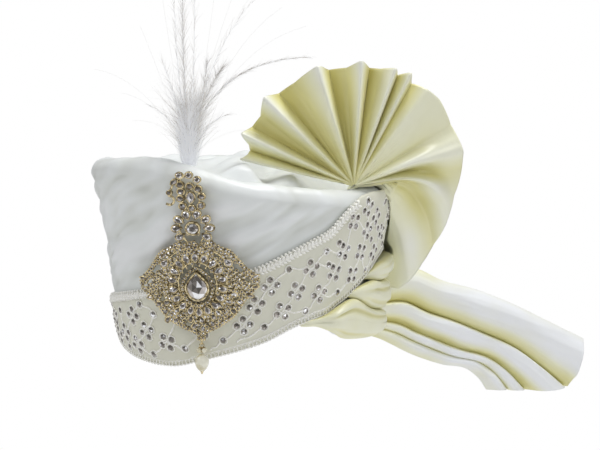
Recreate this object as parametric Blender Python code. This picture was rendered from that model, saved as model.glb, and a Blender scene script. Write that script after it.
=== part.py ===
# Tied wedding turban: a wound satin cap with an embroidered border, rolled folds round the
# back, a pleated fan, a hanging tail, a feather plume and a jewelled brooch.
# Metres, +Z up. The origin is the centre of the head opening at its rim. The wearer faces -Y
# and the wearer's left is +X. Angles round the cap start at the front and grow to the left.
import math

import bmesh
import bpy
from mathutils import Matrix, Vector

# The cap
CROWN_LENGTH = 0.278
CROWN_WIDTH = 0.231
CROWN_HEIGHT = 0.170
CREST_ROUND = 0.012
TOP_RECESS = 0.014
HEAD_LENGTH = 0.200
HEAD_WIDTH = 0.160
HEAD_DEPTH = 0.118
EAR_RISE = 0.037
FOLD_DEPTH = 0.0022
TOP_CLOTH = 0.0025
TOP_PUFF = 0.012

# The border and its two trims
BAND_CLOTH = 0.0016
BRAID_WIDTH = 0.0065
BRAID_THICKNESS = 0.0016
PICOT_WIDTH = 0.0045
PICOT_THICKNESS = 0.0012

# The rolled folds round the back
WRAP_THICKNESS = 0.013
WRAP_SEAT = 0.008

# The fan
FAN_REACH = 0.100
FAN_CLOTH = 0.0018
FAN_PLEAT = 0.011
FAN_GATHER = 0.009

# The tail
TAIL_LENGTH = 0.190
TAIL_CLOTH = 0.0022
TAIL_PLEAT = 0.010
TAIL_HEADING = 65.0

# The plume
PLUME_HEIGHT = 0.180
PLUME_QUILL = 0.0030
PLUME_ROOT = 0.014

# The brooch
BROOCH_WIDTH = 0.089
BROOCH_HEIGHT = 0.137
BROOCH_PLATE = 0.0016
BROOCH_SCALLOP = 0.0011
BROOCH_ANGLE = 32.7
BROOCH_MIDDLE = 0.0728
BROOCH_LEAN = 6.5
BROOCH_TURN = 2.5
BROOCH_LIFT = 0.0078
BEZEL_BORDER = 0.0008
PIN_DIAMETER = 0.0016
PIN_DEPTH = 0.011
PEARL_DIAMETER = 0.0108
PEARL_HEIGHT = 0.0150
LINK_RADIUS = 0.0026
LINK_WIRE = 0.0008

# Clearances
CLOTH_GAP = 0.0004
TOP_GAP = 0.0012
BAND_GAP = 0.0013
TRIM_GAP = 0.0013
WRAP_GAP = 0.0010
METAL_GAP = 0.0003
HOLE_CLEARANCE = 0.0004

COLUMNS = 48
STEP = 360.0 / COLUMNS

# Half width of the cap by height: height and spread as shares of CROWN_HEIGHT and of its half
# length and half width
SPREAD = (
    # height, spread
    (-0.06, 0.740),
    (0.00, 0.785),
    (0.12, 0.835),
    (0.25, 0.862),
    (0.47, 0.893),
    (0.61, 0.915),
    (0.72, 0.937),
    (0.78, 0.964),
    (0.84, 0.988),
    (0.90, 1.000),
    (1.05, 1.000),
)

# Rise of the rim as a share of EAR_RISE
RIM = (
    # angle, rise
    (-180, 0.11),
    (-130, 0.22),
    (-105, 0.43),
    (-90, 0.80),
    (-78, 0.96),
    (-62, 0.82),
    (-45, 0.60),
    (-34, 0.43),
    (-18, 0.20),
    (0, 0.08),
    (18, 0.07),
    (33, 0.26),
    (50, 0.49),
    (60, 0.66),
    (68, 0.85),
    (76, 0.98),
    (81, 0.98),
    (90, 0.76),
    (97, 0.54),
    (105, 0.39),
    (118, 0.25),
    (135, 0.16),
    (180, 0.11),
)

# Height of the crest as a share of CROWN_HEIGHT
CREST = (
    # angle, height
    (-180, 0.870),
    (-130, 0.880),
    (-100, 0.900),
    (-80, 0.908),
    (-60, 0.925),
    (-45, 0.945),
    (-25, 0.962),
    (-8, 0.982),
    (4, 0.993),
    (18, 0.998),
    (28, 0.972),
    (38, 0.938),
    (48, 0.900),
    (62, 0.870),
    (78, 0.842),
    (95, 0.818),
    (115, 0.815),
    (140, 0.840),
    (180, 0.870),
)

# Edges of the border: lift of the lower edge above the rim and height of the upper edge, as
# shares of CROWN_HEIGHT
BAND = (
    # angle, lift, upper
    (-60, 0.006, 0.262),
    (-40, 0.006, 0.270),
    (-12, 0.006, 0.330),
    (6, 0.006, 0.370),
    (22, 0.006, 0.402),
    (33, 0.006, 0.430),
    (47, 0.006, 0.464),
    (58, 0.006, 0.504),
    (72, 0.008, 0.579),
    (78, 0.014, 0.610),
    (85, 0.052, 0.648),
    (90, 0.112, 0.705),
    (97.5, 0.196, 0.775),
    (105, 0.278, 0.790),
    (112.5, 0.346, 0.790),
    (120, 0.402, 0.790),
    (127.5, 0.450, 0.800),
)
BAND_START = -60.0
BAND_END = 127.5
BRAID_END = 97.5

# Seams between the three rolled folds, as shares of CROWN_HEIGHT
WRAPS = (
    # angle, low_seam, high_seam, top
    (75, 0.222, 0.222, 0.222),
    (82.5, 0.236, 0.238, 0.240),
    (90, 0.276, 0.276, 0.278),
    (97.5, 0.296, 0.312, 0.314),
    (105, 0.268, 0.348, 0.350),
    (112.5, 0.226, 0.356, 0.394),
    (120, 0.196, 0.338, 0.438),
    (137, 0.162, 0.315, 0.440),
    (180, 0.146, 0.285, 0.410),
    (225, 0.155, 0.275, 0.375),
    (255, 0.185, 0.275, 0.340),
    (270, 0.228, 0.272, 0.316),
    (280, 0.246, 0.268, 0.290),
)
WRAP_SPANS = (
    # name, first angle, last angle
    ("wrap_low", 82.5, 277.5),
    ("wrap_middle", 97.5, 277.5),
    ("wrap_high", 112.5, 277.5),
)

# Soft ridges of the cap's cloth that climb to the left: each runs from one place to another,
# with heights as shares of CROWN_HEIGHT and reliefs and widths as shares of FOLD_DEPTH
RIDGES = (
    # angle_a, height_a, angle_b, height_b, relief, width
    (-62, 0.52, -8, 0.80, 0.8, 3.2),
    (-30, 0.44, 30, 0.66, 0.7, 3.6),
    (0, 0.60, 62, 0.84, 1.0, 3.4),
    (20, 0.52, 86, 0.78, 0.9, 3.0),
    (44, 0.58, 90, 0.80, -0.7, 2.6),
    (118, 0.62, 205, 0.72, 0.9, 4.0),
    (150, 0.74, 255, 0.62, 0.8, 3.6),
    (215, 0.78, 290, 0.70, 0.8, 3.4),
    (250, 0.50, 310, 0.56, 0.8, 3.2),
)

# The fan, line by line from its front flap round to its hanging back: turn from upright,
# reach and lean backwards as shares of FAN_REACH, and crease, from 1 for a ridge to -1 for a
# valley, as a share of FAN_PLEAT
FAN = (
    # turn, reach, lean, crease
    (-71, 0.97, -0.04, 0.9),
    (-66, 0.90, -0.05, -0.3),
    (-60, 1.04, -0.03, 1.0),
    (-52, 0.98, -0.01, -0.9),
    (-42, 1.07, 0.01, 1.0),
    (-30, 1.03, 0.03, -0.8),
    (-16, 1.08, 0.06, 0.9),
    (-6, 1.04, 0.09, -0.9),
    (3, 1.08, 0.12, 0.9),
    (11, 1.04, 0.15, -0.9),
    (18, 1.08, 0.18, 0.9),
    (21, 1.03, 0.20, -0.7),
    (25, 1.09, 0.22, 0.8),
    (29, 1.02, 0.25, -0.5),
    (35, 1.04, 0.29, 0.3),
    (43, 1.05, 0.36, 0.0),
    (56, 0.99, 0.45, -0.1),
    (66, 0.99, 0.51, 0.2),
    (71, 0.99, 0.55, 0.4),
    (80, 0.96, 0.63, -0.5),
    (95, 0.89, 0.73, -0.3),
    (105, 0.88, 0.78, 0.3),
    (114, 0.89, 0.83, 0.4),
    (127, 0.91, 0.89, -0.5),
    (138, 0.94, 0.93, 0.3),
    (149, 1.01, 0.99, 0.4),
    (155, 1.04, 1.03, 0.1),
    (160, 0.99, 1.05, -0.2),
    (164, 0.86, 1.07, 0.0),
)

# The tail, section by section along its length: heights as shares of TAIL_LENGTH
TAIL = (
    # along_top, top, along_foot, foot
    (0.02, 0.190, 0.00, -0.030),
    (0.12, 0.248, 0.06, -0.050),
    (0.25, 0.268, 0.13, -0.085),
    (0.40, 0.200, 0.21, -0.129),
    (0.57, 0.150, 0.30, -0.170),
    (0.74, 0.083, 0.40, -0.205),
    (0.90, 0.009, 0.51, -0.228),
    (1.02, -0.045, 0.59, -0.285),
    (1.12, -0.085, 0.64, -0.352),
)

# Lengthwise pleats of the tail: place across it from its top edge and relief as a share of
# TAIL_PLEAT
TAIL_PLEATS = (
    # across, relief
    (0.00, -0.5),
    (0.10, 0.5),
    (0.28, 0.9),
    (0.40, 0.2),
    (0.45, -0.9),
    (0.52, 0.5),
    (0.62, 0.9),
    (0.72, 0.3),
    (0.77, -0.8),
    (0.83, 0.5),
    (0.88, -0.5),
    (0.94, 0.6),
    (1.00, -0.2),
)

# How far a lock arches up for each share that it runs to the side
LOCK_ARCH = 0.38
# Locks of the plume: end as shares of PLUME_HEIGHT to the right and up in the fan's face,
# share towards the front, bow to the right and radius as a share of PLUME_QUILL
LOCKS = (
    # across, rise, front, bow, radius
    (-0.02, 1.00, 0.00, -0.02, 1.4),
    (0.03, 0.92, 0.02, 0.02, 1.2),
    (-0.06, 0.80, -0.03, -0.03, 1.2),
    (0.54, 0.52, -0.02, -0.20, 1.2),
    (0.31, 0.76, 0.03, -0.08, 1.1),
    (0.08, 0.47, -0.04, 0.01, 1.4),
    (0.15, 0.45, 0.05, -0.03, 1.3),
    (-0.11, 0.48, 0.04, 0.01, 1.3),
    (-0.17, 0.28, -0.05, 0.02, 1.2),
    (0.17, 0.25, 0.06, -0.01, 1.2),
    (0.02, 0.42, 0.10, 0.00, 1.5),
    (0.02, 0.38, -0.10, 0.00, 1.5),
)


def table_value(table, at, column):
    """One column of a table at a place between its rows, on a smooth curve through them."""
    if at <= table[0][0]:
        return table[0][column]
    if at >= table[-1][0]:
        return table[-1][column]
    row = max(number for number, entry in enumerate(table) if entry[0] <= at)

    def slope(number):
        low, high = table[max(0, number - 1)], table[min(len(table) - 1, number + 1)]
        return (high[column] - low[column]) / (high[0] - low[0])

    width = table[row + 1][0] - table[row][0]
    share = (at - table[row][0]) / width
    start, end = table[row][column], table[row + 1][column]
    rise = end - start
    a = slope(row) * width - rise
    b = rise - slope(row + 1) * width
    return start + rise * share + share * (1 - share) * (a * (1 - share) + b * share)


def curve_place(table, at):
    """A place on the smooth curve through the rows of a table, at a row number."""
    row = min(int(at), len(table) - 2)
    share = at - row
    before, after = table[max(0, row - 1)], table[min(len(table) - 1, row + 2)]
    place = []
    for first, start, end, last in zip(before, table[row], table[row + 1], after):
        leave, arrive = (end - first) / 2, (last - start) / 2
        bend = (leave - end + start) * (1 - share) + (end - start - arrive) * share
        place.append(start + (end - start) * share + share * (1 - share) * bend)
    return place


def smooth(value):
    """A soft step from 0 to 1."""
    value = min(1.0, max(0.0, value))
    return value * value * (3 - 2 * value)


def wrapped(angle):
    """The angle brought between -180 and 180."""
    return (angle + 180.0) % 360.0 - 180.0


def rim_height(angle):
    return EAR_RISE * table_value(RIM, wrapped(angle), 1)


def crest_height(angle):
    return CROWN_HEIGHT * table_value(CREST, wrapped(angle), 1)


def spread(height):
    return table_value(SPREAD, height / CROWN_HEIGHT, 1)


def band_edges(angle):
    """Heights of the border's lower and upper edges."""
    lower = rim_height(angle) + CROWN_HEIGHT * table_value(BAND, angle, 1)
    return lower, CROWN_HEIGHT * table_value(BAND, angle, 2)


def wrap_seams(angle):
    """Heights of the rolled folds' foot, two seams and top."""
    return [rim_height(angle)] + [
        CROWN_HEIGHT * table_value(WRAPS, angle, column) for column in (1, 2, 3)
    ]


def seat_depth(angle, height):
    """How far the cap is drawn in under the rolled folds."""
    angle = angle % 360.0
    if angle < WRAPS[0][0] or angle > WRAPS[-1][0]:
        return 0.0
    foot, _, _, top = wrap_seams(angle)
    room = smooth((top - foot) / (3 * WRAP_THICKNESS))
    return WRAP_SEAT * room * smooth((top - height) / (4 * WRAP_THICKNESS) + 0.4)


def ridge_relief(angle, height):
    """Relief of the cap's soft ridges, which fade out at the border, the folds and the crest."""
    total = 0.0
    reach = 0.5 * (CROWN_LENGTH + CROWN_WIDTH) / 2
    for angle_a, height_a, angle_b, height_b, relief, width in RIDGES:
        along = math.radians(angle_b - angle_a) * reach
        climb = (height_b - height_a) * CROWN_HEIGHT
        length = math.hypot(along, climb)
        turn = angle if angle_a < 110 else angle % 360.0
        step = math.radians(turn - angle_a) * reach
        rise = height - height_a * CROWN_HEIGHT
        share = (step * along + rise * climb) / length**2
        off = (rise * along - step * climb) / length
        ends = smooth(3.0 * share) * smooth(3.0 * (1.0 - share))
        total += relief * ends * math.exp(-((off / (width * FOLD_DEPTH)) ** 2))
    turn = angle % 360.0
    if BAND_START <= angle <= BAND_END:
        floor = band_edges(angle)[1]
    else:
        floor = CROWN_HEIGHT * table_value(WRAPS, turn, 3)
    fade = smooth((height - floor) / (2 * BRAID_WIDTH))
    fade *= smooth((crest_height(angle) - height) / (2 * CREST_ROUND))
    return FOLD_DEPTH * total * fade


def skin(angle, height, off=0.0):
    """A place on the cap's outside, off by a distance along its normal, and that normal."""
    turn = math.radians(angle)
    half_x = CROWN_WIDTH / 2 * spread(height)
    half_y = CROWN_LENGTH / 2 * spread(height)
    level = Vector((math.sin(turn) / half_x, -math.cos(turn) / half_y, 0)).normalized()
    lift = (height - crest_height(angle) + CREST_ROUND) / CREST_ROUND
    lift = min(1.0, max(0.0, lift))
    inset = CREST_ROUND * (1 - math.sqrt(1 - lift * lift))
    normal = level * math.sqrt(1 - lift * lift) + Vector((0, 0, lift))
    place = Vector((half_x * math.sin(turn), -half_y * math.cos(turn), height))
    inward = inset + seat_depth(angle, height) - ridge_relief(angle, height)
    return place - level * inward + normal * off, normal


def new_material(name, colour, roughness, metallic=0.0):
    material = bpy.data.materials.new(name)
    material.use_nodes = True
    shader = material.node_tree.nodes["Principled BSDF"]
    shader.inputs["Base Color"].default_value = (*colour, 1.0)
    shader.inputs["Roughness"].default_value = roughness
    shader.inputs["Metallic"].default_value = metallic
    return material


def add_object(name, points, faces, material, flat=False):
    """An object made from its points and faces, with its faces turned outwards."""
    mesh = bpy.data.meshes.new(name)
    mesh.from_pydata([tuple(point) for point in points], [], faces)
    shape = bmesh.new()
    shape.from_mesh(mesh)
    bmesh.ops.recalc_face_normals(shape, faces=shape.faces)
    if shape.calc_volume(signed=True) < 0:
        bmesh.ops.reverse_faces(shape, faces=shape.faces)
    shape.to_mesh(mesh)
    shape.free()
    if not flat:
        mesh.shade_smooth()
    mesh.materials.append(material)
    item = bpy.data.objects.new(name, mesh)
    bpy.context.scene.collection.objects.link(item)
    return item


def ring_faces(rows, columns):
    """Quads between closed rings of points that follow each other."""
    faces = []
    for row in range(rows - 1):
        for column in range(columns):
            after = (column + 1) % columns
            a, b = row * columns + column, row * columns + after
            faces.append((a, b, b + columns, a + columns))
    return faces


def loft(name, rings, material, flat=False):
    """A closed solid through closed rings of points, capped at both ends."""
    columns = len(rings[0])
    points = [point for ring in rings for point in ring]
    faces = ring_faces(len(rings), columns)
    faces.append(tuple(reversed(range(columns))))
    last = (len(rings) - 1) * columns
    faces.append(tuple(last + column for column in range(columns)))
    return add_object(name, points, faces, material, flat)


def sheet_solid(name, grid, thickness, material):
    """A closed wall round a grid of middle points, with a thickness for each place."""
    rows, columns = len(grid), len(grid[0])

    def normal_at(row, column):
        low, high = max(0, row - 1), min(rows - 1, row + 1)
        left, right = max(0, column - 1), min(columns - 1, column + 1)
        down = grid[high][column] - grid[low][column]
        side = grid[row][right] - grid[row][left]
        return down.cross(side).normalized()

    points = []
    for sign in (0.5, -0.5):
        for row in range(rows):
            for column in range(columns):
                off = normal_at(row, column) * sign * thickness(row, column)
                points.append(grid[row][column] + off)
    back = rows * columns
    faces = []
    for row in range(rows - 1):
        for column in range(columns - 1):
            a = row * columns + column
            b = a + columns
            faces.append((a, b, b + 1, a + 1))
            faces.append((back + a, back + a + 1, back + b + 1, back + b))
    border = [column for column in range(columns)]
    border += [row * columns + columns - 1 for row in range(1, rows)]
    border += [(rows - 1) * columns + column for column in range(columns - 2, -1, -1)]
    border += [row * columns for row in range(rows - 2, 0, -1)]
    for a, b in zip(border, border[1:] + border[:1]):
        faces.append((a, b, back + b, back + a))
    return add_object(name, points, faces, material)


def cut(item, cutter):
    """Takes the cutter's shape out of the item."""
    cutter.hide_render = True
    cutter.display_type = "WIRE"
    modifier = item.modifiers.new(cutter.name, "BOOLEAN")
    modifier.operation = "DIFFERENCE"
    modifier.solver = "EXACT"
    modifier.object = cutter


def fuse(item, other):
    """Joins the other's shape to the item's."""
    other.hide_render = True
    other.display_type = "WIRE"
    modifier = item.modifiers.new(other.name, "BOOLEAN")
    modifier.operation = "UNION"
    modifier.solver = "EXACT"
    modifier.object = other


def basis(start, along, side):
    """A frame at start whose Z runs along and whose X is turned to side."""
    z_axis = along.normalized()
    y_axis = z_axis.cross(side).normalized()
    x_axis = y_axis.cross(z_axis)
    turned = Matrix((x_axis, y_axis, z_axis)).transposed().to_4x4()
    turned.translation = start
    return turned


def round_bar(name, start, end, radius, sides, material, tip=None):
    """A straight round bar, or a cone where its tip has a radius of its own."""
    length = (end - start).length
    frame = basis(start, end - start, Vector((0.31, 0.17, 0.93)))
    rings = []
    for along, size in ((0.0, radius), (length, radius if tip is None else tip)):
        ring = []
        for side in range(sides):
            turn = math.tau * side / sides
            ring.append(frame @ Vector((size * math.cos(turn), size * math.sin(turn), along)))
        rings.append(ring)
    return loft(name, rings, material)


# Shares of the way from the rim to the start of the crest's rounding
WALL_ROWS = (0.035, 0.15, 0.29, 0.43, 0.57, 0.71, 0.86, 1.0)
# Angles of the rounding over the crest and its inner lip
CREST_TURNS = (28, 56, 84, 112, 142)
# The hollow, as shares of HEAD_DEPTH and of the head's half sizes
HOLLOW = (
    # depth, size
    (0.00, 1.000),
    (0.25, 0.992),
    (0.50, 0.950),
    (0.70, 0.850),
    (0.87, 0.640),
    (0.96, 0.380),
)
FLOOR_RINGS = (0.70, 0.48, 0.25)
FLOOR_HEIGHT = 0.82


def floor_height(angle, share):
    """Height of the recessed top at a share of the cap's half sizes."""
    edge = crest_height(angle) - TOP_RECESS
    return edge + (FLOOR_HEIGHT * CROWN_HEIGHT - edge) * smooth((0.84 - share) / 0.6)


def crown_rings():
    """Closed rings from the lip of the rim up the outside, over the crest and to the middle."""
    rings = []
    angles = [column * STEP - 180.0 for column in range(COLUMNS)]
    for share in WALL_ROWS:
        ring = []
        for angle in angles:
            low = rim_height(angle)
            high = crest_height(angle) - CREST_ROUND
            ring.append(skin(angle, low + share * (high - low))[0])
        rings.append(ring)
    for turn in CREST_TURNS:
        ring = []
        for angle in angles:
            base, normal = skin(angle, crest_height(angle) - CREST_ROUND)
            level = Vector((normal.x, normal.y, 0)).normalized()
            bend = math.radians(turn)
            inward = CREST_ROUND * (1 - math.cos(bend))
            ring.append(base - level * inward + Vector((0, 0, CREST_ROUND * math.sin(bend))))
        rings.append(ring)
    for share in FLOOR_RINGS:
        rings.append([floor_place(angle, share) for angle in angles])
    return rings


def floor_place(angle, share, off=0.0):
    turn = math.radians(angle)
    return Vector((
        CROWN_WIDTH / 2 * share * math.sin(turn),
        -CROWN_LENGTH / 2 * share * math.cos(turn),
        floor_height(angle, share) + off,
    ))


def make_crown(cloth):
    angles = [column * STEP - 180.0 for column in range(COLUMNS)]
    rings = crown_rings()
    lip = []
    for angle in angles:
        turn = math.radians(angle)
        outer = skin(angle, rim_height(angle))[0]
        inner = Vector((
            HEAD_WIDTH / 2 * math.sin(turn),
            -HEAD_LENGTH / 2 * math.cos(turn),
            rim_height(angle),
        ))
        lip.append(outer.lerp(inner, 0.4))
    rings.insert(0, lip)
    inner_rings = []
    for depth, size in HOLLOW:
        ring = []
        for angle in angles:
            turn = math.radians(angle)
            low = rim_height(angle) + WALL_ROWS[0] * CROWN_HEIGHT
            ring.append(Vector((
                HEAD_WIDTH / 2 * size * math.sin(turn),
                -HEAD_LENGTH / 2 * size * math.cos(turn),
                low + (HEAD_DEPTH - low) * depth,
            )))
        inner_rings.append(ring)
    rings = list(reversed(inner_rings)) + rings
    points = [point for ring in rings for point in ring]
    faces = ring_faces(len(rings), COLUMNS)
    roof = len(points)
    points.append(Vector((0, 0, HEAD_DEPTH)))
    points.append(Vector((0, 0, FLOOR_HEIGHT * CROWN_HEIGHT)))
    last = (len(rings) - 1) * COLUMNS
    for column in range(COLUMNS):
        after = (column + 1) % COLUMNS
        faces.append((column, roof, after))
        faces.append((last + column, last + after, roof + 1))
    return add_object("crown", points, faces, cloth)


# Folds of the cloth in the recess: direction and place of each crease across the top, as
# shares of CROWN_WIDTH, and its height as a share of TOP_PUFF
TOP_FOLDS = (
    # angle, place, height
    (20, -0.22, 0.55),
    (35, -0.02, 0.80),
    (50, 0.13, 0.45),
    (110, 0.10, 0.35),
)
TOP_RINGS = (0.70, 0.62, 0.46, 0.25)


def top_relief(angle, share):
    """Height of the folded cloth above the floor of the recess."""
    place = floor_place(angle, share)
    total = 0.0
    for turn, across, height in TOP_FOLDS:
        side = Vector((math.cos(math.radians(turn)), math.sin(math.radians(turn)), 0))
        off = (place.dot(side) - across * CROWN_WIDTH) / (0.11 * CROWN_WIDTH)
        total += height * max(0.0, 1.0 - off * off) ** 2
    away = smooth((100.0 - angle) / 50.0) if angle > 0 else 1.0
    return TOP_CLOTH + TOP_PUFF * total * smooth((TOP_RINGS[0] - share) / 0.12) * away


def make_top_cloth(cloth):
    angles = [column * STEP - 180.0 for column in range(COLUMNS)]
    lower = []
    upper = []
    for share in FLOOR_RINGS:
        lower.append([floor_place(angle, share, TOP_GAP) for angle in angles])
    for share in TOP_RINGS:
        upper.append([
            floor_place(angle, share, TOP_GAP + top_relief(angle, share)) for angle in angles
        ])
    rings = list(reversed(lower)) + upper
    points = [point for ring in rings for point in ring]
    faces = ring_faces(len(rings), COLUMNS)
    middle = len(points)
    base = FLOOR_HEIGHT * CROWN_HEIGHT + TOP_GAP
    points.append(Vector((0, 0, base)))
    points.append(Vector((0, 0, base + top_relief(0, 0.0))))
    last = (len(rings) - 1) * COLUMNS
    for column in range(COLUMNS):
        after = (column + 1) % COLUMNS
        faces.append((column, middle, after))
        faces.append((last + column, last + after, middle + 1))
    return add_object("top_cloth", points, faces, cloth)


def band_angles(end):
    count = round((end - BAND_START) / STEP)
    return [BAND_START + STEP * number for number in range(count + 1)]


# Rows of the border from its lower edge to its upper edge, closer where it nears the crest
BAND_ROWS = (0.0, 0.2, 0.4, 0.6, 0.78, 0.9, 1.0)


def make_band(cloth):
    grid = []
    for angle in band_angles(BAND_END):
        lower, upper = band_edges(angle)
        column = []
        for share in BAND_ROWS:
            height = lower + (upper - lower) * share
            column.append(skin(angle, height, BAND_GAP + BAND_CLOTH / 2)[0])
        grid.append(column)
    return sheet_solid("band", grid, lambda row, column: BAND_CLOTH, cloth)


def edge_path(edge, inset, end):
    """Places, normals and sideways directions along one edge of the border."""
    def place_at(angle, off):
        lower, upper = band_edges(angle)
        height = upper - inset if edge == "upper" else lower + inset
        return skin(angle, height, off)

    path = []
    for angle in band_angles(end):
        before = place_at(max(BAND_START, angle - STEP / 2), 0.0)[0]
        after = place_at(min(end, angle + STEP / 2), 0.0)[0]
        normal = place_at(angle, 0.0)[1]
        path.append((angle, place_at, normal, normal.cross(after - before).normalized()))
    return path


def make_trim(name, edge, width, thickness, end, cloth):
    """A flat trim with a rounded top along one edge of the border."""
    base = BAND_GAP + BAND_CLOTH + TRIM_GAP
    profile = (
        # across, height
        (-0.5, 0.0),
        (0.0, 0.0),
        (0.5, 0.0),
        (0.36, 0.8),
        (0.0, 1.0),
        (-0.36, 0.8),
    )
    rings = []
    for angle, place_at, normal, side in edge_path(edge, width / 2, end):
        centre = place_at(angle, base)[0]
        rings.append([
            centre + side * across * width + normal * height * thickness
            for across, height in profile
        ])
    return loft(name, rings, cloth)


def make_wrap(name, first, last, level, cloth):
    """One rolled fold: level 0 is the lowest, 1 the middle one and 2 the highest."""
    sides = 8
    rings = []
    count = round((last - first) / STEP)
    for number in range(count + 1):
        angle = first + number * STEP
        seams = wrap_seams(angle)
        low, high = seams[level], seams[level + 1]
        tall = high - low - CLOTH_GAP
        deep = min(WRAP_THICKNESS, 0.9 * tall)
        near_end = min(number, count - number) + 0.6
        deep *= min(1.0, near_end / 2.0)
        centre_height = (low + high) / 2
        ring = []
        for side in range(sides):
            turn = math.tau * side / sides
            rise = 0.5 * tall * math.copysign(abs(math.sin(turn)) ** 0.8, math.sin(turn))
            out = 0.5 * deep * (1 + math.copysign(abs(math.cos(turn)) ** 0.8, math.cos(turn)))
            place, _ = skin(angle, centre_height + rise, 0.0)
            level_out = Vector((place.x, place.y, 0)).normalized()
            ring.append(place + level_out * (out + WRAP_GAP))
        rings.append(ring)
    return loft(name, rings, cloth)


FAN_ROOT_ANGLE = 103.0
FAN_ROOT_SHARE = 0.86
FAN_ROOT_DROP = 0.006
# The fan's face looks this way: its azimuth round the cap
FAN_FACE = 45.0
FAN_ROWS = (0.0, 0.12, 0.26, 0.42, 0.60, 0.80, 1.0)


def face_axes():
    """Directions in which the fan's face runs across and looks out."""
    turn = math.radians(FAN_FACE)
    across = Vector((math.cos(turn), math.sin(turn), 0))
    front = Vector((math.sin(turn), -math.cos(turn), 0))
    return across, front


def fan_root():
    turn = math.radians(FAN_ROOT_ANGLE)
    return Vector((
        CROWN_WIDTH / 2 * FAN_ROOT_SHARE * math.sin(turn),
        -CROWN_LENGTH / 2 * FAN_ROOT_SHARE * math.cos(turn),
        crest_height(FAN_ROOT_ANGLE) - FAN_ROOT_DROP,
    ))


def clear_of_cap(place, margin):
    """The place moved out of the cap, its border and its crest by a margin."""
    half_x, half_y = CROWN_WIDTH / 2, CROWN_LENGTH / 2
    angle = math.degrees(math.atan2(place.x / half_x, -place.y / half_y))
    share = math.hypot(place.x / half_x, place.y / half_y)
    wraps = 0.0
    if angle % 360.0 > 80.0 and angle % 360.0 < 280.0:
        top = wrap_seams(angle % 360.0)[3]
        near = smooth((top + WRAP_THICKNESS - place.z) / WRAP_THICKNESS)
        wraps = (WRAP_THICKNESS - WRAP_SEAT + WRAP_GAP) * near
    limit = spread(place.z) + (margin + wraps) / half_x
    top = crest_height(angle) + margin
    inner = 1.0 - 2 * CREST_ROUND / half_x
    if share >= limit or place.z >= top or share < inner:
        return place
    if place.z > top - 2 * CREST_ROUND and top - place.z < (limit - share) * half_x:
        return Vector((place.x, place.y, top))
    return Vector((place.x * limit / share, place.y * limit / share, place.z))


def fan_place(line, share):
    """A place on one line of the fan, from its gathered root out to its rim."""
    turn, reach, lean, crease = line
    across, front = face_axes()
    root = fan_root()
    bend = math.radians(turn)
    spoke = across * math.sin(bend) + Vector((0, 0, math.cos(bend)))
    start = root + spoke * FAN_GATHER * 0.9
    end = root + spoke * reach * FAN_REACH - front * lean * FAN_REACH
    hang = smooth((turn - 60.0) / 70.0)
    control = start.lerp(end, 0.5) + Vector((0, 0, 0.42 * FAN_REACH * hang))
    bow = 0.30 * math.sin(math.pi * min(1.0, max(0.0, turn - 66.0) / 98.0))
    control += (across + front * 0.3) * bow * FAN_REACH
    place = start * (1 - share) ** 2 + control * 2 * share * (1 - share) + end * share**2
    depth = FAN_PLEAT * crease * (0.25 + 0.75 * math.sin(math.pi * 0.6 * share))
    place += front * depth * min(1.0, 3.0 * share + 0.12)
    return clear_of_cap(place, BAND_GAP + BAND_CLOTH + FAN_CLOTH / 2 + 2 * CLOTH_GAP)


def make_fan(cloth):
    grid = [[fan_place(line, share) for share in FAN_ROWS] for line in FAN]

    def wall(row, column):
        return FAN_CLOTH * (0.45 if FAN_ROWS[column] < 0.1 else 1.0)

    return sheet_solid("fan", grid, wall, cloth)


TAIL_START_ANGLE = 163.0
TAIL_START_HEIGHT = 0.034
TAIL_SET_OFF = -0.0020
TAIL_ROWS = 15
# How far the corner of the cloth runs on past the straight line of the end, as a share of
# TAIL_LENGTH, and where across the end it lies
TAIL_CORNER = 0.28
TAIL_CORNER_PLACE = 0.42


def tail_place(along, across):
    """A place on the tail, from 0 at the cap to 1 at the end and from its top edge to its foot."""
    heading = math.radians(TAIL_HEADING)
    run = Vector((math.cos(heading), math.sin(heading), 0))
    side = Vector((run.y, -run.x, 0))
    off = WRAP_THICKNESS + TAIL_SET_OFF
    start, _ = skin(TAIL_START_ANGLE, TAIL_START_HEIGHT, off)
    start.z = 0.0
    at = along * (len(TAIL) - 1)
    before = TAIL[min(int(at), len(TAIL) - 2)]
    after = TAIL[min(int(at), len(TAIL) - 2) + 1]
    share = at - min(int(at), len(TAIL) - 2)
    along_top, top, along_foot, foot = (a + (b - a) * share for a, b in zip(before, after))
    upper = start + run * along_top * TAIL_LENGTH + Vector((0, 0, top * TAIL_LENGTH))
    lower = start + run * along_foot * TAIL_LENGTH + Vector((0, 0, foot * TAIL_LENGTH))
    place = upper.lerp(lower, across)
    peak = 1.0 - abs(across - TAIL_CORNER_PLACE) / max(TAIL_CORNER_PLACE, 1 - TAIL_CORNER_PLACE)
    ahead = (run * 0.71 - Vector((0, 0, 0.71))) * TAIL_CORNER * TAIL_LENGTH
    place += ahead * max(0.0, peak) * along**4
    relief = table_value(TAIL_PLEATS, across, 1) * TAIL_PLEAT
    return place + side * relief * (0.45 + 0.55 * smooth(2.5 * along))


def make_tail(cloth):
    grid = []
    for row in range(TAIL_ROWS):
        along = row / (TAIL_ROWS - 1)
        grid.append([tail_place(along, across) for across, _ in TAIL_PLEATS])
    return sheet_solid("tail", grid, lambda row, column: TAIL_CLOTH, cloth)


PLUME_ANGLE = 27.5
PLUME_SHARE = 0.845
PLUME_HEAD = (
    # rise, radius as a share of PLUME_QUILL
    (-PLUME_ROOT, 0.7),
    (0.0, 0.95),
    (0.0080, 1.0),
    (0.0095, 2.2),
    (0.030, 2.6),
    (0.055, 1.6),
)


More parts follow.
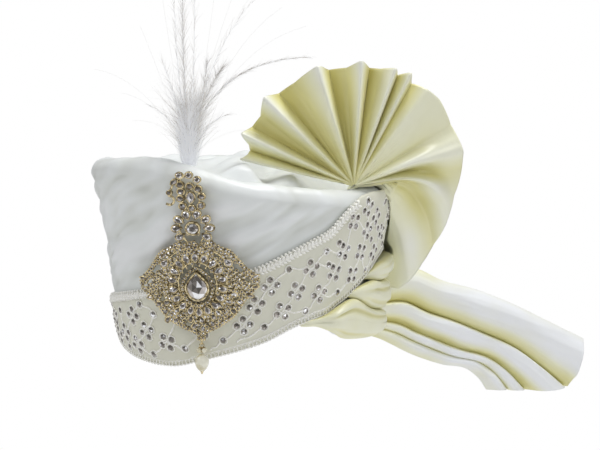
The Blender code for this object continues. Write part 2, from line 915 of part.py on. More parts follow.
def plume_foot():
    turn = math.radians(PLUME_ANGLE)
    return Vector((
        CROWN_WIDTH / 2 * PLUME_SHARE * math.sin(turn),
        -CROWN_LENGTH / 2 * PLUME_SHARE * math.cos(turn),
        crest_height(PLUME_ANGLE) - TOP_RECESS / 2,
    ))


def make_plume(feather):
    """A quill set in the cap, a fluffy head and the locks that spread from it."""
    foot = plume_foot()
    across, front = face_axes()
    up = Vector((0, 0, 1))
    rings = []
    for rise, size in PLUME_HEAD:
        ring = []
        for side in range(8):
            turn = math.tau * side / 8
            spoke = across * math.cos(turn) + front * math.sin(turn)
            ring.append(foot + up * rise + spoke * size * PLUME_QUILL)
        rings.append(ring)
    plume = loft("plume", rings, feather)
    for number, (side, rise, ahead, bow, radius) in enumerate(LOCKS, 1):
        start = foot + up * (0.012 + 0.002 * (number % 4))
        end = foot + (across * side + front * ahead + up * rise) * PLUME_HEIGHT
        control = start.lerp(end, 0.5) + across * bow * PLUME_HEIGHT
        control += up * abs(side) * LOCK_ARCH * PLUME_HEIGHT
        lock = []
        for step in range(6):
            share = step / 5
            place = start * (1 - share) ** 2 + control * 2 * share * (1 - share)
            place += end * share**2
            slope = (control - start).lerp(end - control, share)
            frame = basis(place, slope, front)
            size = radius * PLUME_QUILL * (0.62 + 0.5 * math.sin(math.pi * share) - 0.48 * share)
            lock.append([
                frame @ Vector((size * math.cos(math.tau * k / 5), size * math.sin(math.tau * k / 5), 0))
                for k in range(5)
            ])
        fuse(plume, loft(f"lock_{number}", lock, feather))
    return plume


# Half of the brooch's outline from its foot to its top
BROOCH_OUTLINE = (
    # rise as a share of BROOCH_HEIGHT, half width as a share of half of BROOCH_WIDTH
    (-0.334, 0.000),
    (-0.328, 0.045),
    (-0.308, 0.062),
    (-0.290, 0.055),
    (-0.272, 0.130),
    (-0.252, 0.280),
    (-0.223, 0.420),
    (-0.190, 0.560),
    (-0.153, 0.650),
    (-0.102, 0.750),
    (-0.066, 0.860),
    (-0.022, 0.965),
    (0.022, 1.000),
    (0.058, 0.920),
    (0.095, 0.800),
    (0.139, 0.700),
    (0.175, 0.620),
    (0.204, 0.540),
    (0.226, 0.420),
    (0.250, 0.330),
    (0.272, 0.280),
    (0.300, 0.300),
    (0.345, 0.315),
    (0.385, 0.270),
    (0.418, 0.180),
    (0.445, 0.150),
    (0.482, 0.175),
    (0.533, 0.190),
    (0.584, 0.160),
    (0.628, 0.175),
    (0.657, 0.145),
    (0.675, 0.000),
)
SCALLOP_PITCH = 0.0066

# Stones with their own place: distances and sizes as shares of BROOCH_WIDTH, the turn of the
# point from upright, how pointed it is, and seat and height as shares of BROOCH_PLATE
STONES = (
    # name, across, rise, length, width, turn, point, seat, height
    ("centre_stone", 0.000, 0.000, 0.240, 0.172, 0, 1.0, 2.3, 2.0),
    ("flower_stone", 0.000, 0.515, 0.096, 0.096, 0, 0.0, 1.6, 1.6),
    ("stem_stone", 0.004, 0.785, 0.096, 0.064, 180, 1.0, 1.3, 1.3),
    ("top_stone_1", -0.067, 0.980, 0.048, 0.048, 0, 0.0, 1.1, 1.1),
    ("top_stone_2", 0.005, 0.982, 0.048, 0.048, 0, 0.0, 1.1, 1.1),
    ("top_stone_3", 0.062, 0.940, 0.048, 0.048, 0, 0.0, 1.1, 1.1),
    ("bird_stone_1", -0.252, 0.205, 0.078, 0.058, 40, 1.0, 1.1, 1.2),
    ("bird_stone_2", 0.252, 0.205, 0.078, 0.058, -40, 1.0, 1.1, 1.2),
)

# Rings of equal stones: how many places a ring has and how many of them are filled from the
# first turn on, then its middle, its half sizes and the size of its stones
STONE_RINGS = (
    # name, places, filled, first_turn, rise, half_across, half_rise, length, width
    ("ring_stone", 18, 18, 0, 0.010, 0.202, 0.244, 0.078, 0.052),
    ("petal_stone", 10, 8, -126, 0.515, 0.126, 0.126, 0.058, 0.044),
)
RING_SEAT = 1.2
RING_HEIGHT = 1.3
# How much narrower a pointed stone is at its point, and how wide a stone's table is
STONE_NARROWING = 0.42
STONE_TABLE = 0.62

# Rings of gaps pierced through the brooch and single ones in each wing
GAP_RINGS = (
    # count, rise, half_across, half_rise, radius
    (18, 0.008, 0.272, 0.309, 0.011),
    (10, 0.008, 0.133, 0.176, 0.010),
)
WING_GAPS = (
    # across, rise, radius
    (0.345, 0.130, 0.011),
    (0.400, 0.075, 0.012),
    (0.425, 0.015, 0.012),
    (0.395, -0.050, 0.012),
    (0.345, -0.115, 0.011),
)

# Line of the hook beside the top
HOOK = (
    # across, rise and radius as shares of BROOCH_WIDTH
    (-0.070, 0.975, 0.009),
    (-0.110, 0.960, 0.012),
    (-0.151, 0.927, 0.017),
    (-0.178, 0.875, 0.010),
    (-0.195, 0.834, 0.013),
    (-0.203, 0.806, 0.007),
    (-0.176, 0.792, 0.007),
    (-0.170, 0.752, 0.007),
    (-0.200, 0.724, 0.007),
    (-0.232, 0.735, 0.007),
)
HOOK_SIDES = 5
LINK_RISE = -0.0425
LINK_HOLE = 0.0013
PIN_RISE = 0.060


def bent(across, rise, out):
    """A place on the brooch, which is bent round the cap."""
    turn = math.radians(BROOCH_TURN)
    right = across * math.cos(turn) - rise * math.sin(turn)
    up = across * math.sin(turn) + rise * math.cos(turn)
    half_x = CROWN_WIDTH / 2 * spread(BROOCH_MIDDLE)
    half_y = CROWN_LENGTH / 2 * spread(BROOCH_MIDDLE)

    def pace(angle):
        return math.hypot(half_x * math.cos(angle), half_y * math.sin(angle))

    angle = math.radians(BROOCH_ANGLE)
    angle += right / pace(angle + right / (2 * pace(angle)))
    level = Vector((math.sin(angle) / half_x, -math.cos(angle) / half_y, 0)).normalized()
    lean = math.radians(BROOCH_LEAN)
    foot = Vector((half_x * math.sin(angle), -half_y * math.cos(angle), BROOCH_MIDDLE))
    normal = level * math.cos(lean) - Vector((0, 0, math.sin(lean)))
    upright = level * math.sin(lean) + Vector((0, 0, math.cos(lean)))
    return foot + upright * up + normal * (BROOCH_LIFT + out)


def brooch_outline():
    """The scalloped outline of the brooch, as flat places."""
    steps = 20
    rows = (len(BROOCH_OUTLINE) - 1) * steps
    dense = []
    for number in range(rows + 1):
        rise, half = curve_place(BROOCH_OUTLINE, number / steps)
        dense.append(Vector((half * BROOCH_WIDTH / 2, rise * BROOCH_HEIGHT, 0)))
    lengths = [0.0]
    for before, after in zip(dense, dense[1:]):
        lengths.append(lengths[-1] + (after - before).length)
    third = SCALLOP_PITCH / 3
    count = round(lengths[-1] / third)
    right = []
    for number in range(1, count):
        reach = lengths[-1] * number / count
        index = max(1, sum(1 for length in lengths if length < reach))
        share = (reach - lengths[index - 1]) / (lengths[index] - lengths[index - 1])
        step = dense[index] - dense[index - 1]
        outward = Vector((step.y, -step.x, 0)).normalized()
        bump = BROOCH_SCALLOP if number % 3 and dense[index].y > LINK_RISE * 0.8 else 0.0
        right.append(dense[index - 1] + step * share + outward * bump)
    left = [Vector((-place.x, place.y, 0)) for place in reversed(right)]
    return [dense[0]] + right + [dense[-1]] + left


def all_stones():
    """Every stone as (name, across, rise, length, width, turn, point, seat, height), in metres."""
    stones = []
    for name, across, rise, length, width, turn, point, seat, height in STONES:
        stones.append((
            name, across * BROOCH_WIDTH, rise * BROOCH_WIDTH, length * BROOCH_WIDTH,
            width * BROOCH_WIDTH, turn, point, seat * BROOCH_PLATE, height * BROOCH_PLATE,
        ))
    for name, places, filled, first, rise, half_across, half_rise, length, width in STONE_RINGS:
        for number in range(filled):
            turn = math.radians(first) + math.tau * number / places
            stones.append((
                f"{name}_{number + 1:02d}",
                half_across * math.sin(turn) * BROOCH_WIDTH,
                (rise + half_rise * math.cos(turn)) * BROOCH_WIDTH,
                length * BROOCH_WIDTH,
                width * BROOCH_WIDTH,
                math.degrees(turn) + 180.0,
                1.0,
                RING_SEAT * BROOCH_PLATE,
                RING_HEIGHT * BROOCH_PLATE,
            ))
    return stones


def stone_ring(stone, size, border, out):
    """Eight flat places round a stone, scaled by size or grown by a border."""
    _, across, rise, length, width, turn, point, _, _ = stone
    bend = math.radians(turn)
    ring = []
    for side in range(8):
        place = math.tau * side / 8
        narrow = 1.0 - STONE_NARROWING * point * max(0.0, math.cos(place))
        x = (width / 2 * size + border) * math.sin(place) * narrow
        y = (length / 2 * size + border) * math.cos(place)
        ring.append(Vector((
            across + x * math.cos(bend) + y * math.sin(bend),
            rise - x * math.sin(bend) + y * math.cos(bend),
            out,
        )))
    return ring


def make_stones(glass):
    """Cut stones, each a table and eight facets on its bezel."""
    for stone in all_stones():
        base = stone[7] + METAL_GAP
        table = stone_ring(stone, STONE_TABLE, 0.0, base + stone[8])
        rings = [stone_ring(stone, 1.0, 0.0, base), table]
        bent_rings = [[bent(*place) for place in ring] for ring in rings]
        loft(stone[0], bent_rings, glass, flat=True)


def join_flat(name, solids, material):
    """One mesh of several closed solids, each given as its rings."""
    points = []
    faces = []
    for rings in solids:
        columns = len(rings[0])
        first = len(points)
        points += [point for ring in rings for point in ring]
        faces += [[first + corner for corner in face] for face in ring_faces(len(rings), columns)]
        faces.append([first + column for column in reversed(range(columns))])
        last = first + (len(rings) - 1) * columns
        faces.append([last + column for column in range(columns)])
    return add_object(name, points, faces, material)


def prism(ring, low, high):
    return [[Vector((place.x, place.y, out)) for place in ring] for out in (low, high)]


def round_ring(across, rise, radius, sides):
    turns = [math.tau * side / sides for side in range(sides)]
    return [
        Vector((across + radius * math.cos(turn), rise + radius * math.sin(turn), 0))
        for turn in turns
    ]


def hook_rings():
    """The hook's rings, as flat places."""
    rings = []
    count = 2 * (len(HOOK) - 1)
    for number in range(count + 1):
        across, rise, radius = curve_place(HOOK, number / 2)
        before = curve_place(HOOK, max(0, number - 0.5) / 2)
        after = curve_place(HOOK, min(count, number + 0.5) / 2)
        along = Vector((after[0] - before[0], after[1] - before[1], 0))
        frame = basis(
            Vector((across, rise, 0)) * BROOCH_WIDTH + Vector((0, 0, BROOCH_PLATE / 2)),
            along,
            Vector((0, 0, 1)),
        )
        size = radius * BROOCH_WIDTH
        turns = [math.tau * side / HOOK_SIDES for side in range(HOOK_SIDES)]
        rings.append([frame @ Vector((size * math.cos(t), size * math.sin(t), 0)) for t in turns])
    return rings


def make_brooch_frame(gold):
    """The scalloped plate with its bezels and hook, pierced and then bent round the cap."""
    plate = join_flat("brooch_plate", [prism(brooch_outline(), 0.0, BROOCH_PLATE)], gold)
    bezels = [
        prism(stone_ring(stone, 1.0, BEZEL_BORDER, 0), BROOCH_PLATE / 2, stone[7])
        for stone in all_stones()
    ]
    fuse(plate, join_flat("bezels", bezels, gold))
    fuse(plate, join_flat("hook", [hook_rings()], gold))
    gaps = []
    low, high = -BROOCH_PLATE, 2 * BROOCH_PLATE
    for count, rise, half_across, half_rise, radius in GAP_RINGS:
        for number in range(count):
            turn = math.tau * (number + 0.5) / count
            ring = round_ring(
                half_across * BROOCH_WIDTH * math.sin(turn),
                (rise + half_rise * math.cos(turn)) * BROOCH_WIDTH,
                radius * BROOCH_WIDTH,
                5,
            )
            gaps.append(prism(ring, low, high))
    for across, rise, radius in WING_GAPS:
        for side in (-1, 1):
            ring = round_ring(
                side * across * BROOCH_WIDTH, rise * BROOCH_WIDTH, radius * BROOCH_WIDTH, 5
            )
            gaps.append(prism(ring, low, high))
    gaps.append(prism(round_ring(0.0, LINK_RISE, LINK_HOLE, 10), low, high))
    cut(plate, join_flat("gaps", gaps, gold))
    graph = bpy.context.evaluated_depsgraph_get()
    mesh = bpy.data.meshes.new_from_object(plate.evaluated_get(graph))
    shape = bmesh.new()
    shape.from_mesh(mesh)
    bmesh.ops.triangulate(shape, faces=shape.faces, ngon_method="BEAUTY")
    for corner in shape.verts:
        corner.co = bent(*corner.co)
    shape.to_mesh(mesh)
    shape.free()
    for helper in ("gaps", "bezels", "hook", "brooch_plate"):
        bpy.data.objects.remove(bpy.data.objects[helper], do_unlink=True)
    frame = bpy.data.objects.new("brooch_frame", mesh)
    bpy.context.scene.collection.objects.link(frame)
    return frame


def pin_ends():
    """The pin's two ends: behind the brooch's stem and inside the cap."""
    outer = bent(0.0, PIN_RISE, -3 * METAL_GAP)
    inward = (bent(0.0, PIN_RISE, -0.01) - outer).normalized()
    return outer, outer + inward * (BROOCH_LIFT + PIN_DEPTH)


def make_pin(crown, steel):
    outer, inner = pin_ends()
    round_bar("pin", outer, inner, PIN_DIAMETER / 2, 8, steel, tip=PIN_DIAMETER / 4)
    beyond = (inner - outer).normalized() * HOLE_CLEARANCE
    hole = PIN_DIAMETER / 2 + HOLE_CLEARANCE
    cut(crown, round_bar("pin_hole", outer, inner + beyond, hole, 8, steel))


def turned(name, profile, centre, sides, material):
    """A round solid about an upright axis from (height, radius) rows."""
    rings = []
    for height, radius in profile:
        rings.append([
            centre + Vector((
                radius * math.cos(math.tau * side / sides),
                radius * math.sin(math.tau * side / sides),
                height,
            ))
            for side in range(sides)
        ])
    return loft(name, rings, material)


def ball(name, centre, radius, sides, material):
    profile = []
    rows = sides // 2
    for row in range(rows):
        turn = math.radians(-75 + 150 * row / (rows - 1))
        profile.append((radius * math.sin(turn), radius * math.cos(turn)))
    return turned(name, profile, centre, sides, material)


WIRE_SIDES = 6


def link(name, centre, axis, radius, wire, sides, material):
    """A closed ring of round wire."""
    frame = basis(centre, axis, Vector((0, 0, 1)))
    points = []
    for step in range(sides):
        turn = math.tau * step / sides
        spoke = Vector((math.cos(turn), math.sin(turn), 0))
        for side in range(WIRE_SIDES):
            bend = math.tau * side / WIRE_SIDES
            place = spoke * (radius + wire / 2 * math.cos(bend))
            place.z = wire / 2 * math.sin(bend)
            points.append(frame @ place)
    faces = []
    for step in range(sides):
        this, after = step * WIRE_SIDES, (step + 1) % sides * WIRE_SIDES
        for side in range(WIRE_SIDES):
            beside = (side + 1) % WIRE_SIDES
            faces.append((this + side, after + side, after + beside, this + beside))
    return add_object(name, points, faces, material)


# The eye, the core's drop below it and the beads round the core, as shares of LINK_RADIUS
EYE_SIZE = 0.65
CORE_DROP = 0.8
BEAD_REACH = 1.1
BEAD_SIZE = 0.7
BEADS = 4


def make_pearls(gold, pearl):
    """The drop under the brooch, which hangs from a link through the brooch's foot."""
    hang = bent(0.0, LINK_RISE, BROOCH_PLATE / 2)
    out = Vector((hang.x / CROWN_WIDTH**2, hang.y / CROWN_LENGTH**2, 0)).normalized()
    along = Vector((0, 0, 1)).cross(out)
    down = Vector((0, 0, -1))
    link("pearl_ring", hang + down * LINK_RADIUS, along, LINK_RADIUS, LINK_WIRE, 12, gold)
    eye_radius = EYE_SIZE * LINK_RADIUS
    eye_top = 2 * LINK_RADIUS - LINK_WIRE - METAL_GAP
    eye_centre = hang + down * (eye_top + eye_radius)
    core = eye_centre + down * (eye_radius + CORE_DROP * LINK_RADIUS)
    cluster = ball("pearl_cluster", core, LINK_RADIUS, 10, gold)
    fuse(cluster, link("pearl_eye", eye_centre, out, eye_radius, LINK_WIRE, 10, gold))
    for number in range(BEADS):
        turn = math.tau * (number + 0.5) / BEADS
        side = (out * math.cos(turn) + along * math.sin(turn)) * LINK_RADIUS * BEAD_REACH
        fuse(cluster, ball(f"cluster_bead_{number}", core + side, BEAD_SIZE * LINK_RADIUS, 6, pearl))
    top = core + down * (LINK_RADIUS + METAL_GAP)
    profile = (
        # height and radius as shares of PEARL_HEIGHT and of half of PEARL_DIAMETER
        (0.000, 0.16),
        (-0.050, 0.42),
        (-0.180, 0.80),
        (-0.360, 1.00),
        (-0.560, 0.97),
        (-0.760, 0.72),
        (-0.900, 0.38),
        (-0.930, 0.28),
        (-1.000, 0.20),
        (-1.080, 0.06),
    )
    rows = [(height * PEARL_HEIGHT, size * PEARL_DIAMETER / 2) for height, size in profile]
    turned("pearl_drop", rows, top, 10, pearl)


def cut_quill_hole(crown, material):
    foot = plume_foot()
    up = Vector((0, 0, 1))
    start = foot - up * (PLUME_ROOT + HOLE_CLEARANCE)
    hole = 1.1 * PLUME_QUILL + HOLE_CLEARANCE
    cut(crown, round_bar("quill_hole", start, foot + up * PLUME_ROOT, hole, 10, material))


def main():
    for item in list(bpy.data.objects):
        bpy.data.objects.remove(item, do_unlink=True)
    white_satin = new_material("white_satin", (0.80, 0.82, 0.80), 0.38)
    ivory_satin = new_material("ivory_satin", (0.86, 0.84, 0.68), 0.36)
    border = new_material("embroidered_border", (0.80, 0.79, 0.72), 0.55)
    braid = new_material("braid", (0.84, 0.83, 0.76), 0.60)
    feather = new_material("feather", (0.88, 0.89, 0.92), 0.75)
    gold = new_material("antique_gold", (0.62, 0.48, 0.26), 0.34, 1.0)
    glass = new_material("clear_stone", (0.78, 0.80, 0.80), 0.05)
    pearl = new_material("pearl", (0.90, 0.87, 0.76), 0.18)
    steel = new_material("steel", (0.62, 0.62, 0.60), 0.30, 1.0)
    crown = make_crown(white_satin)
    make_top_cloth(white_satin)
    make_band(border)
    make_trim("upper_trim", "upper", BRAID_WIDTH, BRAID_THICKNESS, BRAID_END, braid)
    make_trim("lower_trim", "lower", PICOT_WIDTH, PICOT_THICKNESS, BAND_END, braid)
    for level, (name, first, last) in enumerate(WRAP_SPANS):
        make_wrap(name, first, last, level, ivory_satin)
    make_fan(ivory_satin)
    make_tail(ivory_satin)
    make_plume(feather)
    cut_quill_hole(crown, white_satin)
    make_brooch_frame(gold)
    make_stones(glass)
    make_pin(crown, steel)
    make_pearls(gold, pearl)


main()
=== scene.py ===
import math
import random

import bmesh
import bpy
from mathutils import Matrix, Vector, noise


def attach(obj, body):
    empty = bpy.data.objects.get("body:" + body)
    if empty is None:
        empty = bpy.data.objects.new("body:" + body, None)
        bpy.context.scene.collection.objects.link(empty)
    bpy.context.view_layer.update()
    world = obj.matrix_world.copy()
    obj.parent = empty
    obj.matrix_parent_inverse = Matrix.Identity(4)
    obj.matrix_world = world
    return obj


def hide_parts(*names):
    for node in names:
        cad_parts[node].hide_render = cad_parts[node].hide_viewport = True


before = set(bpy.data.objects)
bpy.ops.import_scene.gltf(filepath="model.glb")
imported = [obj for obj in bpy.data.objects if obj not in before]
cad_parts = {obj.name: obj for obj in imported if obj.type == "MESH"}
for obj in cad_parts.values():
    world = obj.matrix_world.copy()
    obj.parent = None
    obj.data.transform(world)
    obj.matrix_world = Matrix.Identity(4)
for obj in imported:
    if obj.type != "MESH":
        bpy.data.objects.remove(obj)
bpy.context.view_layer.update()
print("frame loaded")

# the cap's shape, as in the CAD
cap = {
    "length": 0.278,
    "width": 0.231,
    "height": 0.170,
    "crestRound": 0.012,
    "recess": 0.014,
    "headLength": 0.200,
    "headWidth": 0.160,
    "headDepth": 0.118,
    "earRise": 0.037,
    "wrapThickness": 0.013,
    "wrapSeat": 0.008,
    "wrapGap": 0.0010,
    "recessSize": 0.70,
    "floorHeight": 0.82,
    "floorEdge": 0.84,
    "floorSlope": 0.6,
    "bandStart": -60.0,
    "bandEnd": 127.5,
    "braidEnd": 97.5,
}

spreadRows = (  # height, spread
    (-0.06, 0.740), (0.00, 0.785), (0.12, 0.835), (0.25, 0.862), (0.47, 0.893), (0.61, 0.915),
    (0.72, 0.937), (0.78, 0.964), (0.84, 0.988), (0.90, 1.000), (1.05, 1.000),
)
rimRows = (  # angle, rise
    (-180, 0.11), (-130, 0.22), (-105, 0.43), (-90, 0.80), (-78, 0.96), (-62, 0.82), (-45, 0.60),
    (-34, 0.43), (-18, 0.20), (0, 0.08), (18, 0.07), (33, 0.26), (50, 0.49), (60, 0.66),
    (68, 0.85), (76, 0.98), (81, 0.98), (90, 0.76), (97, 0.54), (105, 0.39), (118, 0.25),
    (135, 0.16), (180, 0.11),
)
crestRows = (  # angle, height
    (-180, 0.870), (-130, 0.880), (-100, 0.900), (-80, 0.908), (-60, 0.925), (-45, 0.945),
    (-25, 0.962), (-8, 0.982), (4, 0.993), (18, 0.998), (28, 0.972), (38, 0.938), (48, 0.900),
    (62, 0.870), (78, 0.842), (95, 0.818), (115, 0.815), (140, 0.840), (180, 0.870),
)
bandRows = (  # angle, lift, upper
    (-60, 0.006, 0.262), (-40, 0.006, 0.270), (-12, 0.006, 0.330), (6, 0.006, 0.370),
    (22, 0.006, 0.402), (33, 0.006, 0.430), (47, 0.006, 0.464), (58, 0.006, 0.504),
    (72, 0.008, 0.579), (78, 0.014, 0.610), (85, 0.052, 0.648), (90, 0.112, 0.705),
    (97.5, 0.196, 0.775), (105, 0.278, 0.790), (112.5, 0.346, 0.790), (120, 0.402, 0.790),
    (127.5, 0.450, 0.800),
)
wrapRows = (  # angle, low seam, high seam, top
    (75, 0.222, 0.222, 0.222), (82.5, 0.236, 0.238, 0.240), (90, 0.276, 0.276, 0.278),
    (97.5, 0.296, 0.312, 0.314), (105, 0.268, 0.348, 0.350), (112.5, 0.226, 0.356, 0.394),
    (120, 0.196, 0.338, 0.438), (137, 0.162, 0.315, 0.440), (180, 0.146, 0.285, 0.410),
    (225, 0.155, 0.275, 0.375), (255, 0.185, 0.275, 0.340), (270, 0.228, 0.272, 0.316),
    (280, 0.246, 0.268, 0.290),
)


def tableValue(table, at, column):  # one column of a table on a smooth curve through its rows
    if at <= table[0][0]:
        return table[0][column]
    if at >= table[-1][0]:
        return table[-1][column]
    row = 0
    while table[row + 1][0] <= at:
        row += 1
    last = len(table) - 1

    def slope(number):
        low, high = table[max(0, number - 1)], table[min(last, number + 1)]
        return (high[column] - low[column]) / (high[0] - low[0])

    width = table[row + 1][0] - table[row][0]
    share = (at - table[row][0]) / width
    start, end = table[row][column], table[row + 1][column]
    a = slope(row) * width - (end - start)
    b = end - start - slope(row + 1) * width
    return start + (end - start) * share + share * (1 - share) * (a * (1 - share) + b * share)


def curvePlace(table, at):  # a smooth place between the rows of a table, by row number
    row = max(0, min(int(at), len(table) - 2))
    share = at - row
    before, after = table[max(0, row - 1)], table[min(len(table) - 1, row + 2)]
    place = []
    for first, start, end, last in zip(before, table[row], table[row + 1], after):
        leave, arrive = (end - first) / 2, (last - start) / 2
        bend = (leave - end + start) * (1 - share) + (end - start - arrive) * share
        place.append(start + (end - start) * share + share * (1 - share) * bend)
    return place


def smoothPath(places, steps):  # steps to each row of a table
    count = steps * (len(places) - 1) + 1
    return [Vector(curvePlace(places, step / steps)) for step in range(count)]


def smoothStep(value):
    value = min(1.0, max(0.0, value))
    return value * value * (3 - 2 * value)


def hill(value, width):  # a soft bump of height 1
    return math.exp(-((value / width) ** 2))


def wrinkle(x, y, seed):  # smooth noise from -1 to 1
    return noise.noise(Vector((x, y, seed)))


def rimHeight(angle):
    return cap["earRise"] * tableValue(rimRows, (angle + 180) % 360 - 180, 1)


def crestHeight(angle):
    return cap["height"] * tableValue(crestRows, (angle + 180) % 360 - 180, 1)


def spread(height):
    return tableValue(spreadRows, height / cap["height"], 1)


def bandEdges(angle):
    lower = rimHeight(angle) + cap["height"] * tableValue(bandRows, angle, 1)
    return lower, cap["height"] * tableValue(bandRows, angle, 2)


def wrapSeams(angle):
    seams = [rimHeight(angle)]
    for column in (1, 2, 3):
        seams.append(cap["height"] * tableValue(wrapRows, angle, column))
    return seams


def seatDepth(angle, height):
    angle = angle % 360
    if angle < wrapRows[0][0] or angle > wrapRows[-1][0]:
        return 0.0
    foot, _, _, top = wrapSeams(angle)
    room = smoothStep((top - foot) / (3 * cap["wrapThickness"]))
    return cap["wrapSeat"] * room * smoothStep((top - height) / (4 * cap["wrapThickness"]) + 0.4)


def ovalPlace(angle, size, height):  # a place on a share of the cap's widest oval
    turn = math.radians(angle)
    halfX, halfY = cap["width"] / 2 * size, cap["length"] / 2 * size
    return Vector((halfX * math.sin(turn), -halfY * math.cos(turn), height))


def recessFloor(angle, size):
    edge = crestHeight(angle) - cap["recess"]
    middle = cap["floorHeight"] * cap["height"]
    return edge + (middle - edge) * smoothStep((cap["floorEdge"] - size) / cap["floorSlope"])


def skinPlace(angle, height, off=0.0, relief=0.0):  # a place on the cap's outside and its normal
    turn = math.radians(angle)
    grow = spread(height)
    halfX, halfY = cap["width"] / 2 * grow, cap["length"] / 2 * grow
    level = Vector((math.sin(turn) / halfX, -math.cos(turn) / halfY, 0)).normalized()
    lift = (height - crestHeight(angle) + cap["crestRound"]) / cap["crestRound"]
    lift = min(1.0, max(0.0, lift))
    inset = cap["crestRound"] * (1 - math.sqrt(1 - lift * lift))
    normal = level * math.sqrt(1 - lift * lift) + Vector((0, 0, lift))
    place = ovalPlace(angle, grow, height)
    return place - level * (inset + seatDepth(angle, height) - relief) + normal * off, normal


# materials
looks = {
    "whiteSatin": {
        "ramp": (  # place on the ramp, colour: painted shade, from the lit top of a fold to its shaded depth
            (0.10, (0.86, 0.88, 0.89)), (0.45, (0.82, 0.85, 0.85)), (0.75, (0.73, 0.755, 0.73)),
            (1.0, (0.56, 0.585, 0.54)),
        ),
        "roughness": 0.40,
        "bump": 0.0014,
    },
    "ivorySatin": {
        "ramp": (
            (0.10, (0.92, 0.94, 0.97)), (0.26, (0.89, 0.90, 0.84)), (0.44, (0.87, 0.87, 0.66)),
            (0.70, (0.79, 0.76, 0.40)), (1.0, (0.64, 0.59, 0.22)),
        ),
        "roughness": 0.31,
        "bump": 0.0012,
    },
    "bandCloth": {
        "ramp": (
            (0.10, (0.85, 0.85, 0.79)), (0.45, (0.76, 0.76, 0.66)), (0.75, (0.64, 0.62, 0.47)),
            (1.0, (0.48, 0.44, 0.29)),
        ),
        "roughness": 0.55,
        "bump": 0.0010,
    },
    "cordWhite": {
        "light": (0.97, 0.965, 0.93), "dark": (0.86, 0.85, 0.77), "scale": 700, "share": 0.38,
        "roughness": 0.55, "metallic": 0.0,
    },
    "antiqueGold": {
        "light": (0.90, 0.77, 0.47), "dark": (0.22, 0.165, 0.085), "scale": 420, "share": 0.38,
        "roughness": 0.24, "metallic": 1.0,
    },
    "steelPin": {
        "light": (0.60, 0.60, 0.62), "dark": (0.42, 0.42, 0.44), "scale": 300, "share": 0.40,
        "roughness": 0.35, "metallic": 1.0,
    },
    "pearlGloss": {
        "light": (0.91, 0.89, 0.75), "dark": (0.72, 0.67, 0.47), "scale": 180, "share": 0.40,
        "roughness": 0.18, "metallic": 0.0, "coat": 0.6,
    },
    "clearStone": {
        # painted reflection: from a dark middle to bright facet glints
        "ramp": (
            (0.0, (0.015, 0.015, 0.016)), (0.42, (0.24, 0.22, 0.20)), (0.70, (0.62, 0.58, 0.56)),
            (1.0, (0.96, 0.97, 1.0)),
        ),
        "colour": (0.62, 0.63, 0.64),
        "roughness": 0.10,
        "metallic": 0.9,
    },
    "featherWhite": {
        "ramp": ((0.0, (0.90, 0.92, 0.96)), (0.50, (0.82, 0.80, 0.76)), (1.0, (0.30, 0.27, 0.25))),
        "colour": (0.90, 0.92, 0.96),
        "roughness": 0.7,
        # painted light: the feather glows a little in its ramp colour, standing in for light
        # through its thin barbs
        "paintedGlow": 0.17,
    },
    "paleFloor": {"colour": (0.93, 0.93, 0.93), "roughness": 0.9},
}
weave = {
    "sheen": 0.20,
    "sheenRoughness": 0.35,
    "gloss": 0.50,
    "patchScale": 24,
    "patchShare": 0.20,
    "foldLow": -0.4,
    "foldHigh": 1.1,
    "grainScale": 320,
    "grainShare": 0.12,
    "softScale": 50,
    "bumpStrength": 0.40,
    "wearBlend": 0.15,
}


def newMaterial(name, colour, roughness, metallic=0.0):
    material = bpy.data.materials.new(name)
    material.use_nodes = True
    shader = material.node_tree.nodes["Principled BSDF"]
    shader.inputs["Base Color"].default_value = (*colour, 1)
    shader.inputs["Roughness"].default_value = roughness
    shader.inputs["Metallic"].default_value = metallic
    return material


def addNode(material, kind, **settings):
    node = material.node_tree.nodes.new(kind)
    for key, value in settings.items():
        if key in node.inputs:
            node.inputs[key].default_value = value
        else:
            setattr(node, key, value)
    return node


def addNoise(material, scale, detail):  # noise over the piece's own coordinates
    cloud = addNode(material, "ShaderNodeTexNoise", Scale=scale, Detail=detail)
    coords = addNode(material, "ShaderNodeTexCoord")
    material.node_tree.links.new(coords.outputs["Object"], cloud.inputs["Vector"])
    return cloud.outputs["Fac"]


def paint(material, value, rows):  # base colour on a ramp along a value
    ramp = addNode(material, "ShaderNodeValToRGB")
    spots = ramp.color_ramp.elements
    for spot, (at, colour) in ((spots[0], rows[0]), (spots[1], rows[-1])):
        spot.position = at
        spot.color = (*colour, 1)
    for at, colour in rows[1:-1]:
        spots.new(at).color = (*colour, 1)
    link = material.node_tree.links.new
    link(value, ramp.inputs["Fac"])
    link(ramp.outputs["Color"], material.node_tree.nodes["Principled BSDF"].inputs["Base Color"])
    return ramp


